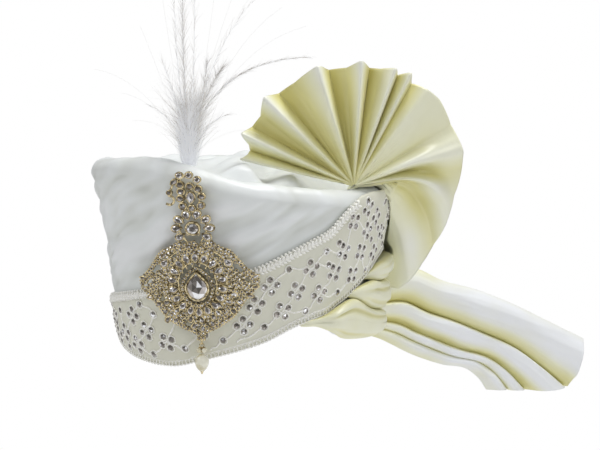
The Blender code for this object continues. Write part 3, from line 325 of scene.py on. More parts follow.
def satin(name):
    look = looks[name]
    material = newMaterial(name, look["ramp"][0][1], look["roughness"])
    link = material.node_tree.links.new
    shader = material.node_tree.nodes["Principled BSDF"]
    shader.inputs["Sheen Weight"].default_value = weave["sheen"]
    shader.inputs["Sheen Roughness"].default_value = weave["sheenRoughness"]
    shader.inputs["Specular IOR Level"].default_value = weave["gloss"]
    # painted shade: the mesh's fold value darkens and yellows the colour in creases and recesses
    depth = addNode(material, "ShaderNodeAttribute", attribute_name="fold")
    shadeRange = addNode(material, "ShaderNodeMapRange")
    shadeRange.inputs["From Min"].default_value = weave["foldLow"]
    shadeRange.inputs["From Max"].default_value = weave["foldHigh"]
    link(depth.outputs["Fac"], shadeRange.inputs["Value"])
    blend = addNode(material, "ShaderNodeMath", operation="MULTIPLY_ADD")
    blend.inputs[1].default_value = weave["patchShare"]
    link(addNoise(material, weave["patchScale"], 2), blend.inputs[0])
    link(shadeRange.outputs["Result"], blend.inputs[2])
    paint(material, blend.outputs[0], look["ramp"])
    total = addNode(material, "ShaderNodeMath", operation="MULTIPLY_ADD")
    total.inputs[1].default_value = weave["grainShare"]
    link(addNoise(material, weave["grainScale"], 4), total.inputs[0])
    link(addNoise(material, weave["softScale"], 2), total.inputs[2])
    bump = addNode(
        material, "ShaderNodeBump", Strength=weave["bumpStrength"], Distance=look["bump"]
    )
    link(total.outputs[0], bump.inputs["Height"])
    link(bump.outputs["Normal"], shader.inputs["Normal"])
    return material


def mottled(name):  # uneven colour, dark over a share of the surface
    look = looks[name]
    material = newMaterial(name, look["light"], look["roughness"], look["metallic"])
    rows = ((look["share"], look["dark"]), (look["share"] + weave["wearBlend"], look["light"]))
    paint(material, addNoise(material, look["scale"], 3), rows)
    return material


def tinted(name, layer):  # colour from a layer of values on the mesh
    look = looks[name]
    material = newMaterial(name, look["colour"], look["roughness"], look.get("metallic", 0.0))
    tint = addNode(material, "ShaderNodeAttribute", attribute_name=layer)
    ramp = paint(material, tint.outputs["Fac"], look["ramp"])
    # painted light: a glow in the ramp's colour
    if "paintedGlow" in look:
        shader = material.node_tree.nodes["Principled BSDF"]
        shader.inputs["Emission Strength"].default_value = look["paintedGlow"]
        material.node_tree.links.new(ramp.outputs["Color"], shader.inputs["Emission Color"])
    return material


whiteSatin = satin("whiteSatin")
ivorySatin = satin("ivorySatin")
bandCloth = satin("bandCloth")
cordWhite = mottled("cordWhite")
antiqueGold = mottled("antiqueGold")
steelPin = mottled("steelPin")
clearStone = tinted("clearStone", "facetReflection")
pearlGloss = mottled("pearlGloss")
pearlShader = pearlGloss.node_tree.nodes["Principled BSDF"]
pearlShader.inputs["Coat Weight"].default_value = looks["pearlGloss"]["coat"]
featherWhite = tinted("featherWhite", "shade")
print("materials made")


# making pieces
def finishPiece(name, shape, material, smooth=True):
    mesh = bpy.data.meshes.new(name)
    shape.to_mesh(mesh)
    shape.free()
    if smooth:
        mesh.shade_smooth()
    mesh.materials.append(material)
    piece = bpy.data.objects.new(name, mesh)
    bpy.context.scene.collection.objects.link(piece)
    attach(piece, "root")
    return piece


def clothGrid(columns, rows, placeAt, weld=False):  # a grid laid out by its u and v places
    shape = bmesh.new()
    shape.loops.layers.uv.new("UVMap")
    foldLayer = shape.verts.layers.float.new("fold")
    bmesh.ops.create_grid(shape, x_segments=columns, y_segments=rows, size=0.5, calc_uvs=True)
    for corner in shape.verts:
        # each place also gets its painted shade value
        place, fold = placeAt(corner.co.x + 0.5, corner.co.y + 0.5)
        corner.co = place
        corner[foldLayer] = fold
    if weld:
        bmesh.ops.remove_doubles(shape, verts=shape.verts, dist=0.00002)
    bmesh.ops.recalc_face_normals(shape, faces=shape.faces)
    return shape


def thicken(piece, thickness):
    wall = piece.modifiers.new("wall", "SOLIDIFY")
    wall.thickness = thickness
    wall.offset = 0.0


def addTube(shape, path, radius, sides=5, closed=False):  # round cord along a path of places
    count = len(path) if closed else len(path) - 1
    made = bmesh.ops.create_grid(shape, x_segments=count, y_segments=sides, size=0.5)["verts"]
    frames = []
    side = Vector((0, 0, 1))
    for number in range(count + 1):
        here = path[number % len(path)]
        ahead = path[(number + 1) % len(path)] if closed or number < count else here
        behind = path[(number - 1) % len(path)] if closed or number > 0 else here
        along = (ahead - behind).normalized()
        if abs(along.dot(side)) > 0.95:
            side = along.orthogonal()
        side = (side - along * side.dot(along)).normalized()
        frames.append((here, side.copy(), along.cross(side)))
    for corner in made:
        at = round((corner.co.x + 0.5) * count)
        turn = math.tau * round((corner.co.y + 0.5) * sides) / sides
        here, out, across = frames[at]
        if closed and at == count:
            here, out, across = frames[0]
        size = radius(at / count) if callable(radius) else radius
        corner.co = here + (out * math.cos(turn) + across * math.sin(turn)) * size
    return made


def closeTubes(shape):  # joins the seams of the cords laid in a shape
    bmesh.ops.remove_doubles(shape, verts=shape.verts, dist=0.000004)
    bmesh.ops.recalc_face_normals(shape, faces=shape.faces)


def dropWidth(rise, point):  # narrows a round outline to a drop's tip
    return math.sqrt(max(0.0, 1 - point * max(0.0, rise)))


def addStone(shape, reflectionLayer, size, place, luck, detail=1):  # a cut stone with painted reflections: dark in its middle, lighter toward its rim and its lower side, with some random facet tone and a few facets painted as bright glints
    made = bmesh.ops.create_icosphere(shape, subdivisions=detail, radius=1)["verts"]
    faces = dict.fromkeys(face for corner in made for face in corner.link_faces)  # in order
    for face in faces:
        middle = face.calc_center_median()
        rim = smoothStep((math.hypot(middle.x, middle.y) - 0.25) / 0.55)
        facetReflection = 0.16 + 0.42 * rim + 0.30 * luck.random() ** 2 - 0.28 * middle.y * rim
        # painted glint: a few facets are made fully bright
        if luck.random() < 0.13:
            facetReflection = 1.0
        for corner in face.loops:
            corner[reflectionLayer] = min(1.0, max(0.0, facetReflection))
    for corner in made:
        table = math.hypot(corner.co.x, corner.co.y) < 0.45
        height = 0.9 if table else max(-0.2, corner.co.z)
        narrow = dropWidth(corner.co.y, size[3])
        corner.co = place(corner.co.x * size[0] * narrow, corner.co.y * size[1], height * size[2])


def addBall(shape, segments, rings, radius, centre, flatten=1.0):
    made = bmesh.ops.create_uvsphere(
        shape, u_segments=segments, v_segments=rings, radius=radius
    )["verts"]
    bmesh.ops.scale(shape, verts=made, vec=(1, 1, flatten))
    bmesh.ops.translate(shape, verts=made, vec=centre)


def addGranule(shape, detail, radius, centre):
    made = bmesh.ops.create_icosphere(shape, subdivisions=detail, radius=radius)["verts"]
    bmesh.ops.translate(shape, verts=made, vec=centre)


# crown
crownLook = {
    "columns": 300,
    "rows": (16, 4, 70, 14, 22),  # of the hollow, lip, wall, crest and floor
    "foldDepth": 0.0032,
    "foldWidth": 0.0024,
    "drape": 0.0042,
    "fineDrape": 0.0018,
    "waveRound": 0.127,
    "waveTilt": 24,
    "warp": 0.004,
    "broadFold": (0.055, 0.012),
    "fineFold": (0.024, 0.0052),
    "seamFade": 0.013,
    "topFade": 0.024,
    "rimLift": 0.006,
    "lipDrop": 0.012,
    "crestTurn": 142,
    "crestWave": 0.0014,
}
crownRidges = (  # angle a, height a, angle b, height b, relief, width
    (-62, 0.52, -8, 0.80, 0.8, 3.2),
    (-30, 0.44, 30, 0.66, 0.7, 3.6),
    (0, 0.60, 62, 0.84, 1.0, 3.4),
    (20, 0.52, 86, 0.78, 0.9, 3.0),
    (44, 0.58, 90, 0.80, -0.7, 2.6),
    (58, 0.84, 99, 0.985, 0.9, 1.7),
    (64, 0.76, 101, 0.95, -0.9, 1.9),
    (70, 0.68, 102, 0.92, 0.8, 1.8),
    (50, 0.90, 92, 1.00, -0.7, 1.6),
    (118, 0.62, 205, 0.72, 0.9, 4.0),
    (150, 0.74, 255, 0.62, 0.8, 3.6),
    (215, 0.78, 290, 0.70, 0.8, 3.4),
    (250, 0.50, 310, 0.56, 0.8, 3.2),
)
hollowRows = (  # depth, size
    (1.00, 0.000), (0.985, 0.25), (0.96, 0.380), (0.87, 0.640), (0.70, 0.850), (0.50, 0.950),
    (0.25, 0.992), (0.00, 1.000),
)


def drapeRelief(angle, height):
    reach = 0.5 * (cap["length"] + cap["width"]) / 2
    total = 0.0
    for angleA, heightA, angleB, heightB, relief, width in crownRidges:
        along = math.radians(angleB - angleA) * reach
        climb = (heightB - heightA) * cap["height"]
        length = math.hypot(along, climb)
        turn = angle if angleA < 110 else angle % 360
        step = math.radians(turn - angleA) * reach
        rise = height - heightA * cap["height"]
        share = (step * along + rise * climb) / length**2
        off = (rise * along - step * climb) / length
        ends = smoothStep(3 * share) * smoothStep(3 * (1 - share))
        total += relief * ends * hill(off, width * crownLook["foldWidth"])
    if cap["bandStart"] <= angle <= cap["bandEnd"]:
        floor = bandEdges(angle)[1]
    else:
        floor = cap["height"] * tableValue(wrapRows, angle % 360, 3)
    fade = smoothStep((height - floor) / crownLook["seamFade"])
    top = 0.35 + 0.65 * smoothStep((crestHeight(angle) - height) / crownLook["topFade"])
    back = 0.5 * smoothStep((abs(angle) - 140) / 40)
    drape = (1 - back) * drapeWave(angle, height)
    if back > 0:  # the two sides meet evenly at the back
        drape += back * drapeWave(angle - math.copysign(360, angle), height)
    return fade * top * (crownLook["foldDepth"] * total + drape)


def drapeWave(angle, height):
    s, tilt = math.radians(angle) * crownLook["waveRound"], math.radians(crownLook["waveTilt"])
    along = s * math.cos(tilt) + height * math.sin(tilt)
    across = height * math.cos(tilt) - s * math.sin(tilt)
    along += crownLook["warp"] * wrinkle(s / 0.03, height / 0.03, 1.7)
    across += crownLook["warp"] * wrinkle(s / 0.04, height / 0.03, 5.2)
    patch = 0.55 + 0.75 * wrinkle(s / 0.06, height / 0.05, 9.4)
    long, narrow = crownLook["broadFold"]
    broad = wrinkle(along / long, across / narrow, 3.1)
    long, narrow = crownLook["fineFold"]
    fine = wrinkle(along / long, across / narrow, 7.7)
    return crownLook["drape"] * broad * max(0.15, patch) + crownLook["fineDrape"] * fine


def crownPlace(u, v):
    angle = -180 + 360 * u
    counts = crownLook["rows"]
    step = v * sum(counts)
    turn = math.radians(angle)
    around = Vector((math.sin(turn), -math.cos(turn), 0))
    low = rimHeight(angle) + crownLook["rimLift"]
    inner = Vector((
        cap["headWidth"] / 2 * around.x, cap["headLength"] / 2 * around.y, low
    ))
    # the second value returned is painted shade: fixed darker values in the hollow inside and on
    # the recess floor, and darker where a fold dips in on the wall and the crest
    if step <= counts[0]:
        depth, size = curvePlace(hollowRows, step / counts[0] * (len(hollowRows) - 1))
        height = low + (cap["headDepth"] - low) * depth
        return Vector((inner.x * size, inner.y * size, height)), 0.4
    step -= counts[0]
    outer, _ = skinPlace(angle, low)
    if step <= counts[1]:
        share = step / counts[1]
        lip = inner.lerp(outer, 0.5) - Vector((0, 0, crownLook["lipDrop"]))
        place = inner * (1 - share) ** 2 + lip * 2 * share * (1 - share) + outer * share**2
        return place, 0.2
    step -= counts[1]
    high = crestHeight(angle) - cap["crestRound"]
    if step <= counts[2]:
        height = low + (high - low) * step / counts[2]
        relief = drapeRelief(angle, height)
        place, _ = skinPlace(angle, height, 0.0, relief)
        return place, 0.38 - relief * 250
    step -= counts[2]
    relief = drapeRelief(angle, high)
    base, normal = skinPlace(angle, high, 0.0, relief)
    level = Vector((normal.x, normal.y, 0)).normalized()

    def overCrest(bend):
        inward = cap["crestRound"] * (1 - math.cos(bend))
        wave = crownLook["crestWave"] * wrinkle(6.4 * around.x, 6.4 * around.y + bend, 4.4)
        rise = (cap["crestRound"] + wave) * math.sin(bend)
        return base - level * inward + Vector((0, 0, rise))

    over = math.radians(crownLook["crestTurn"])
    if step <= counts[3]:
        return overCrest(over * step / counts[3]), 0.3 - relief * 200
    share = (step - counts[3]) / counts[4]
    size = cap["recessSize"] * (1 - share)
    floor = ovalPlace(angle, size, recessFloor(angle, size))
    return overCrest(over).lerp(floor, smoothStep(share * 6)), 0.5


crown = finishPiece(
    "crownCloth",
    clothGrid(crownLook["columns"], sum(crownLook["rows"]), crownPlace, weld=True),
    whiteSatin,
)
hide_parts("crown")
print("crown made")

# cloth in the recess
topLook = {
    "thickness": 0.0025,
    "puff": 0.017,
    "gap": 0.0012,
    "lowest": 0.0005,
    "sway": 0.010,
    "swayPace": 40,
    "ripple": 0.30,
    "rimFade": 0.12,
    "columns": 220,
    "rows": 60,
}
topFolds = (  # direction, place across, height, width, how steep its far side is
    (28, -0.16, 0.62, 0.12, 2.2),
    (40, 0.02, 0.95, 0.11, 2.6),
    (54, 0.17, 0.60, 0.09, 2.4),
    (18, -0.30, 0.40, 0.10, 1.6),
)


def topPlace(u, v):
    angle = -180 + 360 * u
    size = cap["recessSize"] * v
    place = ovalPlace(angle, size, 0)
    total = 0.0
    for direction, across, height, width, steep in topFolds:
        side = Vector((math.cos(math.radians(direction)), math.sin(math.radians(direction)), 0))
        along = Vector((-side.y, side.x, 0))
        off = place.dot(side) - across * cap["width"]
        off += topLook["sway"] * math.sin(place.dot(along) * topLook["swayPace"] + direction)
        wide = width * cap["width"] / (steep if off > 0 else 1.0)
        total += height * hill(off, wide)
    total += topLook["ripple"] * wrinkle(place.x / 0.018, place.y / 0.03, 2.2)
    rimShare = smoothStep((cap["recessSize"] - size) / topLook["rimFade"])
    lift = topLook["gap"] + topLook["thickness"] + topLook["puff"] * total * rimShare
    place.z = recessFloor(angle, size) + max(topLook["gap"] + topLook["lowest"], lift)
    # painted shade: the low places between the puffed folds are darker
    return place, 0.7 - 0.7 * total


topCloth = finishPiece(
    "topCloth",
    clothGrid(topLook["columns"], topLook["rows"], topPlace, weld=True),
    whiteSatin,
)
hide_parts("top_cloth")
print("cloth in the recess made")

# band
bandLook = {"gap": 0.0013, "thickness": 0.0016, "wave": 0.00035, "columns": 240, "rows": 44}


def bandCorner(u, v):
    angle = cap["bandStart"] + (cap["bandEnd"] - cap["bandStart"]) * u
    lower, upper = bandEdges(angle)
    wave = bandLook["wave"] * wrinkle(u * 60, v * 9, 8.8)
    off = bandLook["gap"] + bandLook["thickness"] / 2 + wave
    return skinPlace(angle, lower + (upper - lower) * v, off)[0], 0.2


band = finishPiece(
    "bandCloth",
    clothGrid(bandLook["columns"], bandLook["rows"], bandCorner),
    bandCloth,
)
thicken(band, bandLook["thickness"])
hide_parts("band")
print("band made")

# embroidery: each flower has four petals, a stone in a ring of cord
embroidery = {
    "surface": 0.0030,
    "petalReach": 0.0051,
    "ringRadius": 0.0030,
    "ringCord": 0.00056,
    "stone": (0.0025, 0.0025, 0.0015, 0.0),
    "vineCord": 0.00080,
    "vineSway": 0.0008,
    "ringLift": 0.0002,
    "ringWave": 0.10,
    "stoneLift": 0.0001,
}
flowers = (  # angle, share of the band's height, turn
    (60.4, 0.70, 8), (76.8, 0.66, 15), (70.8, 0.46, 20), (80.9, 0.28, 12), (87.6, 0.43, 25),
    (97.9, 0.21, 40), (91.8, 0.57, 20), (102.1, 0.39, 30), (54.6, 0.53, 15), (65.2, 0.29, 28),
    (49.7, 0.32, 5), (105.1, 0.59, 10), (118.7, 0.41, 25), (112.6, 0.22, 12), (126.0, 0.61, 40),
    (-2.6, 0.66, 0), (5.7, 0.45, 20), (-11.3, 0.36, 8), (16.3, 0.31, 30), (-2.2, 0.22, 15),
    (103.5, 0.86, 20), (111.0, 0.70, 5), (-22.5, 0.55, 35), (24.0, 0.66, 10), (33.0, 0.40, 22),
    (43.0, 0.66, 5), (-20.5, 0.22, 15), (-31.0, 0.36, 30), (-39.0, 0.64, 12), (-46.0, 0.30, 5),
    (-54.0, 0.62, 28), (96.0, 0.80, 33),
)
singles = (  # angle, share of the band's height
    (107.4, 0.09), (83.1, 0.78), (67.4, 0.80), (75.0, 0.14), (58.0, 0.20), (41.5, 0.19),
    (90.2, 0.14), (89.0, 0.73), (114.0, 0.52), (109.0, 0.44), (-13.6, 0.72), (3.2, 0.82),
    (10.7, 0.68), (7.5, 0.13), (24.8, 0.20), (32.5, 0.76), (51.5, 0.76), (-30.0, 0.78),
    (-38.0, 0.18), (-46.5, 0.78), (-55.0, 0.22), (-10.5, 0.12), (84.5, 0.59), (117.5, 0.85),
    (122.0, 0.18), (-30.0, 0.10),
)
vines = (  # rows of angle and share of the band's height
    ((36.0, 0.10), (41.5, 0.19), (49.7, 0.32), (54.6, 0.53), (60.4, 0.70), (67.4, 0.80),
     (76.8, 0.66), (83.1, 0.78), (91.8, 0.57), (96.0, 0.80), (105.1, 0.59), (103.5, 0.86)),
    ((47.0, 0.12), (58.0, 0.20), (65.2, 0.29), (70.8, 0.46), (76.8, 0.66), (84.5, 0.59)),
    ((65.2, 0.29), (75.0, 0.14), (80.9, 0.28), (87.6, 0.43), (91.8, 0.57), (89.0, 0.73)),
    ((80.9, 0.28), (90.2, 0.14), (97.9, 0.21), (102.1, 0.39), (105.1, 0.59), (111.0, 0.70)),
    ((102.1, 0.39), (107.4, 0.09), (112.6, 0.22), (118.7, 0.41), (126.0, 0.61)),
    ((-13.6, 0.72), (-11.3, 0.36), (-2.6, 0.66), (3.2, 0.82), (10.7, 0.68), (5.7, 0.45),
     (-2.2, 0.22), (7.5, 0.13), (16.3, 0.31), (24.8, 0.20), (33.0, 0.40), (43.0, 0.66)),
    ((-57.0, 0.40), (-54.0, 0.62), (-46.0, 0.30), (-39.0, 0.64), (-31.0, 0.36), (-22.5, 0.55),
     (-20.5, 0.22), (-11.3, 0.36)),
    ((16.3, 0.31), (24.0, 0.66), (32.5, 0.76), (33.0, 0.40)),
)


def bandSpot(angle, share, across, up, off):  # a place near one of the band, in metres from it
    lower, upper = bandEdges(angle)
    height = lower + (upper - lower) * share + up
    turn = math.radians(angle)
    wide = cap["width"] / 2 * spread(height)
    long = cap["length"] / 2 * spread(height)
    pace = math.hypot(wide * math.cos(turn), long * math.sin(turn))
    return skinPlace(angle + math.degrees(across / pace), height, off)[0]


luck = random.Random(7)
cordShape = bmesh.new()
stoneShape = bmesh.new()
stoneReflection = stoneShape.loops.layers.float.new("facetReflection")


def addSetStone(angle, share, across, up):
    surface = embroidery["surface"]
    ring = []
    for step in range(12):
        turn = math.tau * step / 12
        reach = embroidery["ringRadius"] * (1 + embroidery["ringWave"] * (step % 2))
        ring.append(bandSpot(
            angle, share, across + reach * math.cos(turn), up + reach * math.sin(turn),
            surface + embroidery["ringLift"],
        ))
    addTube(cordShape, ring, embroidery["ringCord"], 5, True)
    addStone(
        stoneShape, stoneReflection, embroidery["stone"],
        lambda x, y, z: bandSpot(
            angle, share, across + x, up + y, surface + embroidery["stoneLift"] + z
        ),
        luck,
    )


for angle, share, turn in flowers:
    for petal in range(4):
        bend = math.radians(turn + 90 * petal)
        addSetStone(
            angle, share, embroidery["petalReach"] * math.cos(bend),
            embroidery["petalReach"] * math.sin(bend),
        )
for angle, share in singles:
    addSetStone(angle, share, 0.0, 0.0)
for vine in vines:
    path = []
    for step in range(10 * (len(vine) - 1) + 1):
        angle, share = curvePlace(vine, step / 10)
        sway = embroidery["vineSway"] * math.sin(step * 0.9)
        path.append(bandSpot(angle, share, 0.0, sway, embroidery["surface"]))
    addTube(cordShape, path, embroidery["vineCord"], 5)
closeTubes(cordShape)
vineCords = finishPiece("vineCords", cordShape, cordWhite)
bandStones = finishPiece("bandStones", stoneShape, clearStone, smooth=False)
print("embroidery made")

# braid along the band's upper edge and picot loops along its lower one
trimLook = {
    "braidInset": 0.0030,
    "braidPitch": 0.0034,
    "braidBead": (0.0030, 0.0012, 0.0011),
    "braidSlant": 38,
    "braidReach": 0.0015,
    "braidLift": 0.0009,
    "braidCord": 0.0014,
    "knot": (0.0014, 0.0013, 0.0008),
    "knotReach": 0.0037,
    "picotInset": 0.0016,
    "picotPitch": 0.0031,
    "picotLoop": 0.0017,
    "picotAlong": 1.05,
    "picotAcross": 1.25,
    "picotCord": 0.00042,
    "picotBead": (0.0008, 0.0008, 0.0005),
    "picotBeadReach": 0.0022,
    "edgeCord": 0.0006,
    "edgeCordReach": 0.0026,
    "tapeLift": 0.0002,
    "loopLift": 0.0003,
    "walkStep": 0.2,
}


def edgeWalk(edge, inset, pitch, end):  # even steps along one edge: place, along, up and normal
    def spot(angle):
        lower, upper = bandEdges(angle)
        height = upper - inset if edge == "upper" else lower + inset
        return skinPlace(angle, height, embroidery["surface"])

    walk = []
    angle = cap["bandStart"]
    here, _ = spot(angle)
    gone = 0.0
    while angle < end:
        after, normal = spot(angle + trimLook["walkStep"])
        gone += (after - here).length
        if gone >= pitch:
            gone -= pitch
            along = (after - here).normalized()
            walk.append((after, along, normal.cross(along), normal))
        here = after
        angle += trimLook["walkStep"]
    return walk


def addBead(shape, size, place, along, across, normal, tilt):
    made = bmesh.ops.create_icosphere(shape, subdivisions=1, radius=1)["verts"]
    bend = math.radians(tilt)
    first = along * math.cos(bend) + across * math.sin(bend)
    second = across * math.cos(bend) - along * math.sin(bend)
    for corner in made:
        x, y, z = corner.co
        corner.co = place + first * x * size[0] + second * y * size[1] + normal * z * size[2]


braidShape = bmesh.new()
walk = edgeWalk("upper", trimLook["braidInset"], trimLook["braidPitch"], cap["braidEnd"])
for place, along, across, normal in walk:
    for side in (1, -1):
        middle = place + normal * trimLook["braidLift"] + across * side * trimLook["braidReach"]
        slant = side * trimLook["braidSlant"]
        addBead(braidShape, trimLook["braidBead"], middle, along, across, normal, slant)
    middle = place + across * trimLook["knotReach"] + normal * trimLook["loopLift"]
    addBead(braidShape, trimLook["knot"], middle, along, across, normal, 0)
tapePath = [place + normal * trimLook["tapeLift"] for place, along, across, normal in walk]
addTube(braidShape, tapePath, trimLook["braidCord"], 6)
closeTubes(braidShape)
upperBraid = finishPiece("upperBraid", braidShape, cordWhite)
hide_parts("upper_trim")

picotShape = bmesh.new()
walk = edgeWalk("lower", trimLook["picotInset"], trimLook["picotPitch"], cap["bandEnd"])
for place, along, across, normal in walk:
    reach = trimLook["picotLoop"]
    loop = []
    for step in range(10):
        turn = math.tau * step / 10
        ahead = along * trimLook["picotAlong"] * reach * math.cos(turn)
        aside = across * trimLook["picotAcross"] * reach * math.sin(turn)
        loop.append(
            place + ahead + aside - across * trimLook["tapeLift"] + normal * trimLook["loopLift"]
        )
    addTube(picotShape, loop, trimLook["picotCord"], 5, True)
    middle = place + across * trimLook["picotBeadReach"]
    addBead(picotShape, trimLook["picotBead"], middle, along, across, normal, 0)
cordPath = [
    place + across * trimLook["edgeCordReach"] + normal * trimLook["tapeLift"]
    for place, along, across, normal in walk
]
addTube(picotShape, cordPath, trimLook["edgeCord"], 6)
closeTubes(picotShape)
lowerPicot = finishPiece("lowerPicot", picotShape, cordWhite)
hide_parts("lower_trim")
print("braid and picot made")

# rolled folds round the back
wrapLook = {
    "columns": 170,
    "rows": 40,
    "creaseDepth": 0.0024,
    "ripple": 0.0007,
    "gap": 0.0002,
    "deep": 0.0145,
    "skirt": 0.005,
    "skirtAngle": 86,
    "knuckles": (0.42, 0.38, 0.10),
    "knuckleAngle": 130,
    "taper": 0.008,
    "square": 0.9,
}
wrapSpans = (  # name, node, first angle, last angle, level
    ("wrapLow", "wrap_low", 73.0, 277.5, 0),
    ("wrapMiddle", "wrap_middle", 96.0, 277.5, 1),
    ("wrapHigh", "wrap_high", 110.0, 277.5, 2),
)
wrapCreases = (  # place round the roll, slant, waves, depth of the crease and of its painted shade
    (0.11, 0.16, 1.1, 1.0),
    (-0.13, -0.20, 0.8, 0.8),
)


def squared(value):  # a slightly boxy round
    return math.copysign(abs(value) ** wrapLook["square"], value)


def makeWrap(name, node, first, last, level):
    span = math.radians(last - first) * 0.11

    def place(u, v):
        angle = first + (last - first) * u
        seams = wrapSeams(angle)
        low, high = seams[level], seams[level + 1]
        if level == 0:
            low -= wrapLook["skirt"] * hill(angle - wrapLook["skirtAngle"], 18)
        ends = min(u, 1 - u) * span
        taper = math.sqrt(min(1.0, max(0.0, ends / wrapLook["taper"])))
        tall = (high - low - wrapLook["gap"]) * (0.25 + 0.75 * taper)
        tall *= min(1.0, taper * 3)
        knuckle = 1 + wrapLook["knuckles"][level] * hill(angle - wrapLook["knuckleAngle"], 15)
        deep = min(wrapLook["deep"], 0.85 * tall) * taper * knuckle
        turn = math.tau * v
        rise = 0.5 * tall * squared(math.sin(turn))
        out = 0.5 * deep * (1 + squared(math.cos(turn)))
        around = (v + 0.5) % 1.0 - 0.5
        crease = 0.0
        for at, slant, waves, depth in wrapCreases:
            middle = at + slant * (u - 0.3) + 0.03 * math.sin(waves * 9 * u + level * 2 + at * 20)
            crease += depth * hill(around - middle, 0.020)
            crease -= 0.35 * depth * hill(around - middle - 0.045, 0.035)
        facing = max(0.0, math.cos(turn))
        room = smoothStep((tall - 0.010) / 0.014)
        out -= wrapLook["creaseDepth"] * crease * facing * taper * room
        out += wrapLook["ripple"] * facing * wrinkle(u * 26, v * 6, level + 0.5)
        spot, _ = skinPlace(angle, (low + high) / 2 + rise)
        levelOut = Vector((spot.x, spot.y, 0)).normalized()
        # painted shade: darker in the creases and where the roll turns away from its outer face
        fold = 0.10 + 0.75 * max(0.0, crease) * facing * room + 0.55 * (1 - facing) ** 2
        return spot + levelOut * (out + cap["wrapGap"]), fold

    piece = finishPiece(
        name, clothGrid(wrapLook["columns"], wrapLook["rows"], place, weld=True), ivorySatin,
    )
    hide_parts(node)


for row in wrapSpans:
    makeWrap(*row)
print("rolled folds made")

# fan
fanLook = {
    "reach": 0.100,
    "cloth": 0.0016,
    "pleat": 0.011,
    "hub": 0.0010,
    "hubLift": 0.0030,
    "hang": 0.42,
    "bow": 0.30,
    "streaks": (0.0011, 0.0014),
    "clearance": 0.0008,
    "over": 0.0018,
    "rootAngle": 103.0,
    "rootShare": 0.86,
    "rootDrop": 0.006,
    "face": 45.0,
    "columns": 432,
    "rows": 56,
}
fanRows = (  # turn, reach, lean, crease: pleat depth and its painted shade
    (-71, 0.97, -0.04, 0.8), (-68.5, 0.93, -0.05, 0.1), (-66, 0.92, -0.05, -0.7),
    (-63, 0.95, -0.04, 0.2), (-60, 1.05, -0.03, 1.0), (-56, 1.00, -0.02, -0.9),
    (-49, 1.00, 0.00, -0.3), (-42, 1.09, 0.01, 1.1), (-36.5, 1.03, 0.02, -1.0),
    (-27, 1.04, 0.04, -0.3), (-16, 1.10, 0.06, 1.1), (-11.5, 1.04, 0.07, -1.0),
    (-3, 1.04, 0.10, -0.2), (3, 1.10, 0.12, 1.1), (7, 1.04, 0.13, -1.0), (12, 1.05, 0.15, -0.1),
    (18, 1.09, 0.18, 1.0), (20.5, 1.03, 0.20, -0.9), (25, 1.10, 0.22, 0.9),
    (28, 1.02, 0.25, -0.7), (35, 1.05, 0.29, 0.3), (43, 1.05, 0.36, 0.1), (56, 0.99, 0.45, -0.2),
    (66, 0.99, 0.51, 0.2), (71, 0.99, 0.55, 0.5), (80, 0.96, 0.63, -0.7), (95, 0.89, 0.73, -0.3),
    (105, 0.88, 0.78, 0.4), (114, 0.89, 0.83, 0.5), (127, 0.91, 0.89, -0.5),
    (138, 0.94, 0.93, 0.3), (149, 1.01, 0.99, 0.4), (155, 1.04, 1.03, 0.1),
    (160, 0.99, 1.05, -0.2), (165, 0.84, 1.07, 0.0), (175, 0.74, 1.10, 0.1), (188, 0.60, 1.12, 0.0),
)
fanHollows = (  # turn, place from the hub, width in turn, width from the hub, depth of the hollow and of its painted shade
    (76, 0.42, 8, 0.22, 0.0125),
    (88, 0.62, 7, 0.20, 0.011),
    (112, 0.36, 13, 0.17, 0.016),
    (130, 0.60, 12, 0.26, 0.009),
    (58, 0.52, 5, 0.30, 0.004),
    (66, 0.48, 5, 0.35, -0.008),
    (99, 0.52, 8, 0.30, -0.009),
    (146, 0.80, 7, 0.20, -0.006),
)
faceTurn = math.radians(fanLook["face"])
faceAcross = Vector((math.cos(faceTurn), math.sin(faceTurn), 0))
faceFront = Vector((math.sin(faceTurn), -math.cos(faceTurn), 0))
fanRoot = ovalPlace(
    fanLook["rootAngle"], fanLook["rootShare"],
    crestHeight(fanLook["rootAngle"]) - fanLook["rootDrop"],
)


def clearOfCap(place, margin):  # moves a place out of the cap, its band and its rolls
    halfX, halfY = cap["width"] / 2, cap["length"] / 2
    angle = math.degrees(math.atan2(place.x / halfX, -place.y / halfY))
    share = math.hypot(place.x / halfX, place.y / halfY)
    rolls = 0.0
    if 80 < angle % 360 < 280:
        top = wrapSeams(angle % 360)[3]
        near = smoothStep((top + cap["wrapThickness"] - place.z) / cap["wrapThickness"])
        rolls = (cap["wrapThickness"] - cap["wrapSeat"] + cap["wrapGap"]) * near
    limit = spread(place.z) + (margin + rolls) / halfX
    top = crestHeight(angle) + fanLook["over"]
    inner = 1 - 2 * cap["crestRound"] / halfX
    if share >= limit or place.z >= top or share < inner:
        return place
    if place.z > top - 2 * cap["crestRound"] and top - place.z < (limit - share) * halfX:
        return Vector((place.x, place.y, top))
    return Vector((place.x * limit / share, place.y * limit / share, place.z))


